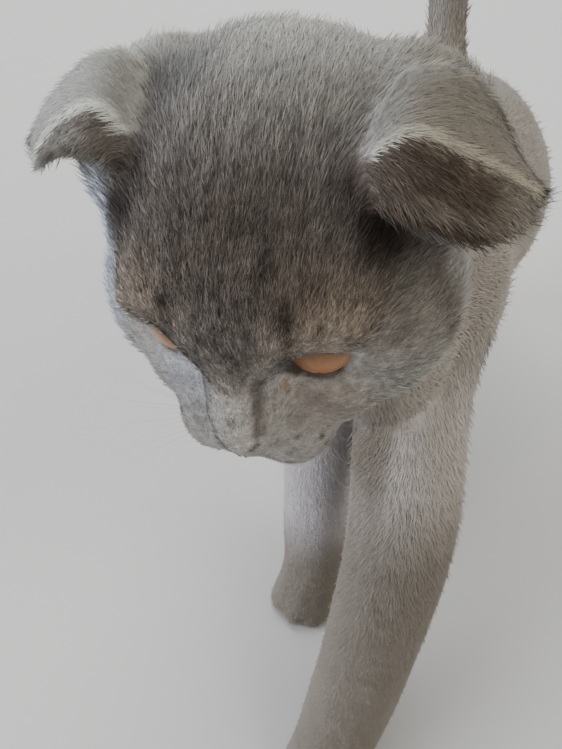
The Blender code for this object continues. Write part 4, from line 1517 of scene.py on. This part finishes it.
@dataclass
class Coat:
    """The fur: closed tufts over the whole skin, in a few joined meshes.

    A tuft has a foot, two sides and a tip. One in eleven is a guard hair, longer, thinner
    and steeper than the rest.
    """

    skin: Skin
    most: int = 365000
    per_piece: int = 48000
    side_lean: float = 0.22
    tip_lean: float = 0.08
    spread: float = 10.0
    lengths: tuple = (0.75, 1.10)
    widths: tuple = (0.7, 1.2)
    lift_spread: float = 0.14
    lift_span: tuple = (0.06, 1.0)
    swell: float = 1.3
    swell_most: float = 1.2
    waist: float = 0.40
    root_depth: float = 0.2 * MM
    floor_gap: float = 0.2 * MM
    guard_share: float = 0.09
    guard_lift: float = 2.3
    guard_length: float = 1.20
    guard_width: float = 0.38
    shades: tuple = (0.92, 1.0, 1.0, 1.03)
    speckle_spread: float = 0.8
    speckle_span: tuple = (0.4, 2.0)
    patch: float = 0.0015
    patch_corners: tuple = ((0.0, -1.0), (0.9, 0.1), (-0.9, 0.1), (0.0, 1.0))
    eye_margin: float = 1.12
    eye_front: float = 0.3
    corner_bare: float = 0.17
    seed: int = 11
    clump: Grain = Grain(0.007, 21, 0.12)
    wisp: Grain = Grain(0.003, 22, 0.072)
    ruffle: Grain = Grain(0.006, 23, 0.16)
    groups: tuple = (("coat_head", ("head", "ear")), ("coat_trunk", ("torso", "neck")),
                     ("coat_forelegs", ("foreleg",)), ("coat_hindlegs", ("hindleg",)),
                     ("coat_tail", ("tail",)))

    def build(self) -> None:
        """Root, shape and dress every tuft."""
        rng = np.random.default_rng(self.seed)
        roots = self._roots(rng)
        finish = CoatFinish("coat").material()
        for name, words in self.groups:
            held = np.zeros(len(roots), dtype=bool)
            for word in words:
                held |= CoatMap.has(roots.region, word)
            chosen = np.flatnonzero(held)
            parts = max(1, math.ceil(len(chosen) / self.per_piece))
            for part in range(parts):
                piece = self._tufts(f"{name}_{part + 1}", roots.pick(chosen[part::parts]), rng)
                settle(piece, "coat", finish)

    def _roots(self, rng: np.random.Generator) -> Roots:
        """Scatter roots over the skin, closer where the hair is short.

        Args:
            rng: The seeded source of chance.

        Returns:
            The roots.
        """
        skin = self.skin
        places = vertex_places(skin.thing.data)
        normals = vertex_normals(skin.thing.data)
        corners, uv = skin.corners()
        face, share = self._scatter(places, normals, corners, rng)
        corner = corners[face]

        def blend(values: np.ndarray) -> np.ndarray:
            """Values at the corners, weighed by each root's share."""
            return (values * share).sum(axis=1)

        place = blend(places[corner])
        normal = unit(blend(normals[corner]))
        lie = blend(skin.flow[corner])
        lie = unit(lie - normal * np.sum(lie * normal, axis=1, keepdims=True))
        length = blend(skin.length[corner][:, :, None])[:, 0]
        lift = blend(skin.lift[corner][:, :, None])[:, 0]
        region = skin.region[corner[:, 0]]
        return Roots(place, normal, lie, length, skin.coat.widths(length, region), lift,
                     skin.coat.colours(place, region), blend(uv[face]), region)

    def _scatter(self, places: np.ndarray, normals: np.ndarray, corners: np.ndarray,
                 rng: np.random.Generator) -> tuple[np.ndarray, np.ndarray]:
        """Choose a triangle of the skin for each root, and a place in it.

        Args:
            places: The skin's vertices.
            normals: Their normals.
            corners: The vertices of each triangle.
            rng: The seeded source of chance.

        Returns:
            Each root's triangle, and how much each corner weighs in its place.
        """
        skin = self.skin
        edge_a = places[corners[:, 1]] - places[corners[:, 0]]
        edge_b = places[corners[:, 2]] - places[corners[:, 0]]
        area = 0.5 * np.linalg.norm(np.cross(edge_a, edge_b), axis=1)
        length = skin.length[corners].mean(axis=1)
        region = skin.region[corners[:, 0]]
        width = skin.coat.widths(length, region)
        expected = area * skin.coat.hair("cover", region) / (0.5 * width * length)
        expected *= self._haired(places[corners].mean(axis=1))
        expected *= min(1.0, self.most / expected.sum())
        count = np.floor(expected + rng.random(len(expected))).astype(int)
        face = np.repeat(np.arange(len(corners)), count)
        share = rng.random((len(face), 2))
        over = share.sum(axis=1) > 1.0
        share[over] = 1.0 - share[over]
        return face, np.column_stack([1.0 - share.sum(axis=1), share])[:, :, None]

    def _haired(self, places: np.ndarray) -> np.ndarray:
        """Where hair grows: not on the eyeballs, the nose leather and the soles.

        Args:
            places: Surface places in metres.

        Returns:
            1 or 0 for each place.
        """
        frames = self.skin.frames
        keep = np.ones(len(places))
        keep[places[:, 2] < SOLE_HIGH] = 0.0
        for side in Side:
            local = frames.to_eye(side, places)
            opening = np.where(local[:, 1] > 0.0, EYE_OPEN_ABOVE, EYE_OPEN_BELOW)
            off_middle = (local[:, 0] / EYE_HALF_WIDTH) ** 2 + (local[:, 1] / opening) ** 2
            keep[(off_middle < self.eye_margin) & (local[:, 2] > self.eye_front)] = 0.0
            off_corner = np.linalg.norm(local - eye_corner(side), axis=1)
            keep[off_corner < self.corner_bare] = 0.0
        off_nose = (frames.to_head(places) - np.array(LEATHER_PLACE)) / LEATHER_HALF
        keep[np.linalg.norm(off_nose, axis=1) < 1.0] = 0.0
        return keep

    def _tufts(self, name: str, roots: Roots, rng: np.random.Generator) -> bpy.types.Object:
        """Model and colour tufts as one joined mesh.

        Args:
            name: The piece's name.
            roots: Where and how they grow.
            rng: The seeded source of chance.

        Returns:
            The new piece.
        """
        points, lie, side = self._shape(roots, rng)
        pattern = self._outward(points[0], np.array([[0, 2, 1], [3, 1, 2], [0, 1, 3], [0, 3, 2]]))
        faces = (np.arange(len(roots))[:, None, None] * 4 + pattern).reshape(-1, 3)
        piece = mesh_object(name, points.reshape(-1, 3), faces)
        spread = self.skin.coat.speckle(roots.place, roots.region)
        chance = 1.0 + spread * rng.normal(0.0, self.speckle_spread, len(roots))
        tint = roots.colour * chance.clip(*self.speckle_span)[:, None]
        shade = np.array(self.shades)[None, :, None]
        store_colour(piece.data, (tint[:, None, :] * shade).reshape(-1, 3))
        plush = np.repeat(roots.normal[:, None, :], 4, axis=1)
        plush[:, 1] += self.side_lean * side
        plush[:, 2] -= self.side_lean * side
        plush[:, 3] += self.tip_lean * lie
        piece.data.normals_split_custom_set_from_vertices(unit(plush).reshape(-1, 3))
        shift = self.patch * np.array(self.patch_corners)
        map_uv = (roots.uv[:, None, :] + shift)[:, pattern.ravel()].reshape(-1, 2)
        layer = piece.data.uv_layers.new(name="OFBake")
        layer.data.foreach_set("uv", np.clip(map_uv, 0.0, 1.0).astype(np.float32).ravel())
        return piece

    def _shape(self, roots: Roots, rng: np.random.Generator) -> tuple[np.ndarray, ...]:
        """The four points of every tuft.

        Args:
            roots: Where and how they grow.
            rng: The seeded source of chance.

        Returns:
            The points, the way that each tuft lies, and the way across it.
        """
        n = len(roots)
        side = np.cross(roots.normal, roots.lie)
        clump = self.clump.at(roots.place) + self.wisp.at(roots.place)
        sway = rng.normal(0.0, math.radians(self.spread), n) + clump
        lie = roots.lie * np.cos(sway)[:, None] + side * np.sin(sway)[:, None]
        side = np.cross(roots.normal, lie)
        lift = roots.lift * (1.0 + self.lift_spread * rng.normal(0.0, 1.0, n)
                             + self.ruffle.at(roots.place))
        length = roots.length * rng.uniform(*self.lengths, n)
        half = 0.5 * roots.width * rng.uniform(*self.widths, n)
        guard = rng.random(n) < self.guard_share
        lift = np.clip(np.where(guard, self.guard_lift * lift, lift), *self.lift_span)
        length = np.where(guard, self.guard_length * length, length)
        half = np.where(guard, self.guard_width * half, half)
        foot = roots.place - roots.normal * self.root_depth

        def along(angle: np.ndarray, reach: np.ndarray) -> np.ndarray:
            """Places at an angle off the skin and a reach from the foot."""
            way = lie * np.cos(angle)[:, None] + roots.normal * np.sin(angle)[:, None]
            return foot + way * reach[:, None]

        middle = along(np.minimum(lift * self.swell, self.swell_most), self.waist * length)
        across = side * half[:, None]
        points = np.stack([foot, middle + across, middle - across, along(lift, length)], axis=1)
        points[:, :, 2] = np.maximum(points[:, :, 2], self.floor_gap)
        return points, lie, side

    @staticmethod
    def _outward(points: np.ndarray, pattern: np.ndarray) -> np.ndarray:
        """The faces of one tuft, turned to face outwards.

        Args:
            points: Its four points.
            pattern: The corners of its four faces.

        Returns:
            The corners in the right order.
        """
        a, b, c = (points[pattern[:, k]] - points.mean(axis=0) for k in range(3))
        volume = np.sum(np.cross(a, b) * c)
        return pattern if volume > 0.0 else pattern[:, ::-1]


@dataclass
class Eye:
    """An eyeball with its cornea, and the dark rim of its lids. Sizes in centimetres."""

    frames: Frames
    side: Side
    shrink: float = 0.012
    bulge: float = 0.04
    bulge_angle: float = 38.0
    gaze_drop: float = 31.0
    steps: int = 40
    squareness: float = 0.85
    rim_half: float = 0.058
    rim_reach: float = 0.050
    rim_sides: int = 8
    rim_oval: tuple = (1.15, 0.9)
    corner_swell: float = 1.5
    corner_shift: tuple = (0.04, 0.04)

    def build(self) -> None:
        """Make the eyeball and its rim."""
        self._ball()
        self._rim()

    def _ball(self) -> None:
        """A ball with a raised cornea, its UVs measured from the gaze."""
        ahead = Vector((0.0, 0.0, 1.0))
        ball = new_ball("eyeball_" + self.side.word, 48, 32, (EYE_RADIUS - self.shrink) * CM)
        for vert in ball.data.vertices:
            lean = math.degrees(vert.co.angle(ahead))
            vert.co *= 1.0 + self.bulge * max(0.0, 1.0 - (lean / self.bulge_angle) ** 2)
        layer = ball.data.uv_layers.new(name="gaze")
        for loop in ball.data.loops:
            way = ball.data.vertices[loop.vertex_index].co.normalized()
            angle = way.angle(ahead)
            flat = Vector((way.x, way.y)).normalized() if angle > 1e-4 else Vector((0.0, 0.0))
            layer.data[loop.index].uv = flat * angle
        ball.data.transform(self.frames.eye(self.side) @ rotation(self.gaze_drop, "X"))
        settle(ball, "eye", EyeFinish("iris_" + self.side.word).material(),
               "eye_" + self.side.word)

    def _line(self) -> tuple[list[Vector], list[float]]:
        """The rim's line round the lids' opening, in the eye's frame.

        Returns:
            Its points from the outer corner round, and how thick it is at each.
        """
        inner = -self.side.value
        points = []
        thick = []
        for step in range(self.steps):
            angle = math.tau * step / self.steps
            open_to = EYE_OPEN_ABOVE if angle < math.pi else EYE_OPEN_BELOW
            rising = math.sin(angle)
            flat = Vector((EYE_HALF_WIDTH * math.cos(angle),
                           open_to * math.copysign(abs(rising) ** self.squareness, rising)))
            toward = max(0.0, flat.x * inner / EYE_HALF_WIDTH) ** 6
            flat.x += inner * self.corner_shift[0] * toward
            flat.y -= self.corner_shift[1] * toward
            high = math.sqrt(max((EYE_RADIUS + self.rim_reach) ** 2 - flat.length_squared, 0.05))
            points.append(Vector((flat.x, flat.y, high)))
            thick.append(1.0 + self.corner_swell * toward)
        return points, thick

    def _rim(self) -> None:
        """A rounded rim of bare skin all round the opening."""
        line, thick = self._line()
        wide, high = self.rim_oval
        places = []
        for i, centre in enumerate(line):
            along = (line[(i + 1) % len(line)] - line[i - 1]).normalized()
            out = centre.normalized()
            across = along.cross(out).normalized()
            for k in range(self.rim_sides):
                angle = math.tau * k / self.rim_sides
                offset = across * math.cos(angle) * wide + out * math.sin(angle) * high
                places.append((centre + offset * self.rim_half * thick[i]) * CM)
        world = in_world(self.frames.eye(self.side), places)
        faces = tube_faces(0, self.rim_sides, len(line), closed=True)
        rim = mesh_object("lid_rim_" + self.side.word, world, np.array(faces))
        take(rim)
        bpy.ops.object.mode_set(mode="EDIT")
        bpy.ops.mesh.select_all(action="SELECT")
        bpy.ops.mesh.normals_make_consistent(inside=False)
        bpy.ops.object.mode_set(mode="OBJECT")
        finish = LeatherFinish("lid_skin_" + self.side.word, (0.008, 0.006, 0.006, 1.0),
                               (0.022, 0.016, 0.014, 1.0), 0.45, 0.12)
        settle(rim, "nose_leather", finish.material())


@dataclass
class Nose:
    """The nose leather with its nostrils. Sizes in centimetres, in the head's frame."""

    frames: Frames
    place: tuple = (0.0, -5.74, -1.48)
    half: tuple = (0.54, 0.36, 0.44)
    recede: float = 0.12
    narrow: float = 0.5
    chin_drop: float = 0.08
    groove: tuple = (0.05, 0.05)
    nostril: tuple = (0.26, -0.33, -0.08)
    nostril_reach: float = 0.11
    nostril_depth: float = 0.17

    def build(self) -> None:
        """Model the leather from a ball, and press in the nostrils."""
        nose = new_ball("nose_leather", 40, 26, 1.0)
        for vert in nose.data.vertices:
            point = Vector([c * h for c, h in zip(vert.co, self.half)])
            drop = float(rise(0.0, self.half[2], np.array(-point.z)))
            point.x *= 1.0 - self.narrow * drop
            point.y += self.chin_drop * drop
            point.y += self.recede * max(0.0, point.z / self.half[2])
            wide, deep = self.groove
            in_groove = math.exp(-(point.x / wide) ** 2) * max(0.0, -point.y / self.half[1])
            point.y += deep * in_groove
            for side in Side:
                hole = Vector((self.nostril[0] * side.value, *self.nostril[1:]))
                away = point - hole
                away.x *= 0.8
                away.z += 0.35 * abs(away.x)
                in_hole = math.exp(-(away.length / self.nostril_reach) ** 2)
                point.y += self.nostril_depth * in_hole
            vert.co = (point + Vector(self.place)) * CM
        nose.data.transform(self.frames.head)
        finish = LeatherFinish("nose_skin", (0.045, 0.038, 0.040, 1.0),
                               (0.085, 0.070, 0.072, 1.0), 0.42)
        settle(nose, "nose_leather", finish.material(), "nose")


@dataclass
class Whiskers:
    """Whiskers as closed tapering threads. Sizes in centimetres, in the head's frame."""

    frames: Frames
    rows: int = 3
    columns: int = 4
    first: tuple = (1.25, -5.45, -1.0)
    next_column: tuple = (0.30, 0.22, -0.02)
    next_row: tuple = (0.0, 0.0, -0.38)
    way: tuple = (1.0, -0.55, 0.05)
    lengths: tuple = (2.6, 4.2)
    droops: tuple = (0.4, 0.9)
    root_share: float = 0.06
    thick: float = 0.0024
    tip: float = 0.0010
    sides: int = 3
    steps: int = 9
    seed: int = 4

    def build(self) -> None:
        """Grow both sides' whiskers as one piece."""
        rng = np.random.default_rng(self.seed)
        places = []
        faces = []
        for side in Side:
            for row in range(self.rows):
                for column in range(self.columns):
                    root = (Vector(self.first) + Vector(self.next_column) * column
                            + Vector(self.next_row) * row)
                    way = Vector(self.way) + Vector((0.0, 0.22 * column, -0.38 * row))
                    length = rng.uniform(*self.lengths)
                    droop = rng.uniform(*self.droops)
                    faces += self._thread_faces(len(places), side)
                    places += self._thread(root, way.normalized(), length, droop, side)
        piece = mesh_object("whiskers", in_world(self.frames.head, [p * CM for p in places]),
                            np.array(faces))
        settle(piece, "coat", PlainFinish("whisker", (0.22, 0.21, 0.21, 1.0), 0.4).material())

    def _thread(self, root: Vector, way: Vector, length: float, droop: float,
                side: Side) -> list[Vector]:
        """The vertices of one thread, ring by ring.

        Args:
            root: Where it grows on the left side.
            way: The way it sets out, one long.
            length: How long it is.
            droop: How far its end sinks, as a share of its length.
            side: The side it grows on.

        Returns:
            The places.
        """
        across = way.cross(Vector((0.0, 0.0, 1.0))).normalized()
        over = way.cross(across)
        places = []
        for step in range(self.steps + 1):
            t = step / self.steps
            sink = Vector((0.0, 0.25, -1.0)) * (0.5 * droop * length * t * t)
            point = root + way * length * (t - self.root_share) + sink
            radius = self.thick * (1.0 - t) ** 0.8 + self.tip
            for k in range(self.sides):
                angle = math.tau * k / self.sides
                place = point + (across * math.cos(angle) + over * math.sin(angle)) * radius
                places.append(Vector((place.x * side.value, place.y, place.z)))
        return places

    def _thread_faces(self, start: int, side: Side) -> list[tuple]:
        """The triangles of one thread with both its ends.

        Args:
            start: Index of its first vertex.
            side: The side it grows on.

        Returns:
            Corners that face outwards.
        """
        faces = tube_faces(start, self.sides, self.steps)
        last = start + self.steps * self.sides
        faces += [(start, start + 2, start + 1), (last, last + 1, last + 2)]
        return faces if side is Side.LEFT else [face[::-1] for face in faces]


@dataclass
class Studio:
    """Pale floor, soft lights and the camera."""

    frames: Frames
    floor_size: float = 60.0
    floor_colour: tuple = (0.62, 0.62, 0.61, 1.0)
    sky: tuple = (0.96, 0.96, 1.0, 1.0)
    sky_strength: float = 0.28
    camera_place: tuple = (2.2, -40.0, 30.0)
    look_down: float = 36.0
    look_right: float = 17.0
    sensor: float = 36.0
    width_px: float = 562.0
    height_px: float = 749.0

    def build(self) -> None:
        """Set up everything round the cat."""
        self._floor()
        self._lamp("back", (-0.35, 0.85, 1.0), 70.0, 3.0, (1.0, 1.0, 0.97))
        self._lamp("key", (-1.22, -0.72, 0.35), 50.0, 4.2, (0.87, 0.91, 1.0))
        self._lamp("side", (1.3, -0.2, 0.6), 50.0, 1.7, (1.0, 0.95, 0.86))
        world = bpy.data.worlds.new("studio")
        bpy.context.scene.world = world
        world.use_nodes = True
        background = world.node_tree.nodes["Background"]
        background.inputs["Color"].default_value = self.sky
        background.inputs["Strength"].default_value = self.sky_strength
        self._camera()

    def _floor(self) -> None:
        """A wide pale floor."""
        deselect()
        bpy.ops.mesh.primitive_plane_add(size=self.floor_size, location=(0.0, 0.0, 0.0))
        floor = bpy.context.active_object
        floor.name = "floor"
        floor.data.materials.append(PlainFinish("floor", self.floor_colour, 0.8).material())
        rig.stage(floor)

    def _lamp(self, name: str, place: tuple, spread: float, strength: float,
              colour: tuple) -> None:
        """A wide soft light from far away, which lights floor and cat alike.

        Args:
            name: Its name.
            place: The way it lies, from the cat.
            spread: Its width, in degrees.
            strength: How bright it is.
            colour: Its tint.
        """
        lamp = bpy.data.lights.new(name, "SUN")
        lamp.energy = strength
        lamp.angle = math.radians(spread)
        lamp.color = colour
        thing = bpy.data.objects.new(name, lamp)
        bpy.context.scene.collection.objects.link(thing)
        thing.location = place
        thing.rotation_euler = Vector(place).to_track_quat("Z", "Y").to_euler()

    def _camera(self) -> None:
        """The photograph's viewing angle: close, above and in front."""
        lens = bpy.data.cameras.new("camera")
        lens.sensor_fit = "AUTO"
        lens.sensor_width = self.sensor
        lens.lens = self.sensor * self.width_px / self.height_px
        lens.clip_start = 0.01
        camera = bpy.data.objects.new("camera", lens)
        bpy.context.scene.collection.objects.link(camera)
        camera.location = self.frames.body @ (Vector(self.camera_place) * CM)
        down = math.radians(self.look_down)
        aside = math.radians(self.look_right)
        way = Vector((-math.sin(aside) * math.cos(down), math.cos(aside) * math.cos(down),
                      -math.sin(down)))
        camera.rotation_euler = way.to_track_quat("-Z", "Y").to_euler()
        bpy.context.scene.camera = camera


def write_sizes() -> None:
    """Keep the CAD's box and the dressed model's, to compare."""
    boxes = {"cad": [list(corner) for corner in CAD_BOX],
             "visual": [list(corner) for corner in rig.bounds()]}
    with open(SIZE_NOTE, "w", encoding="utf-8") as note:
        json.dump(boxes, note)


def main() -> None:
    """Build the cat's looks in order."""
    frames = Frames()
    coat_map = CoatMap(frames)
    skin = Skin(frames, coat_map)
    skin.build()
    Coat(skin).build()
    for side in Side:
        Eye(frames, side).build()
    Nose(frames).build()
    Whiskers(frames).build()
    Studio(frames).build()
    write_sizes()


if __name__ == "__main__":
    main()
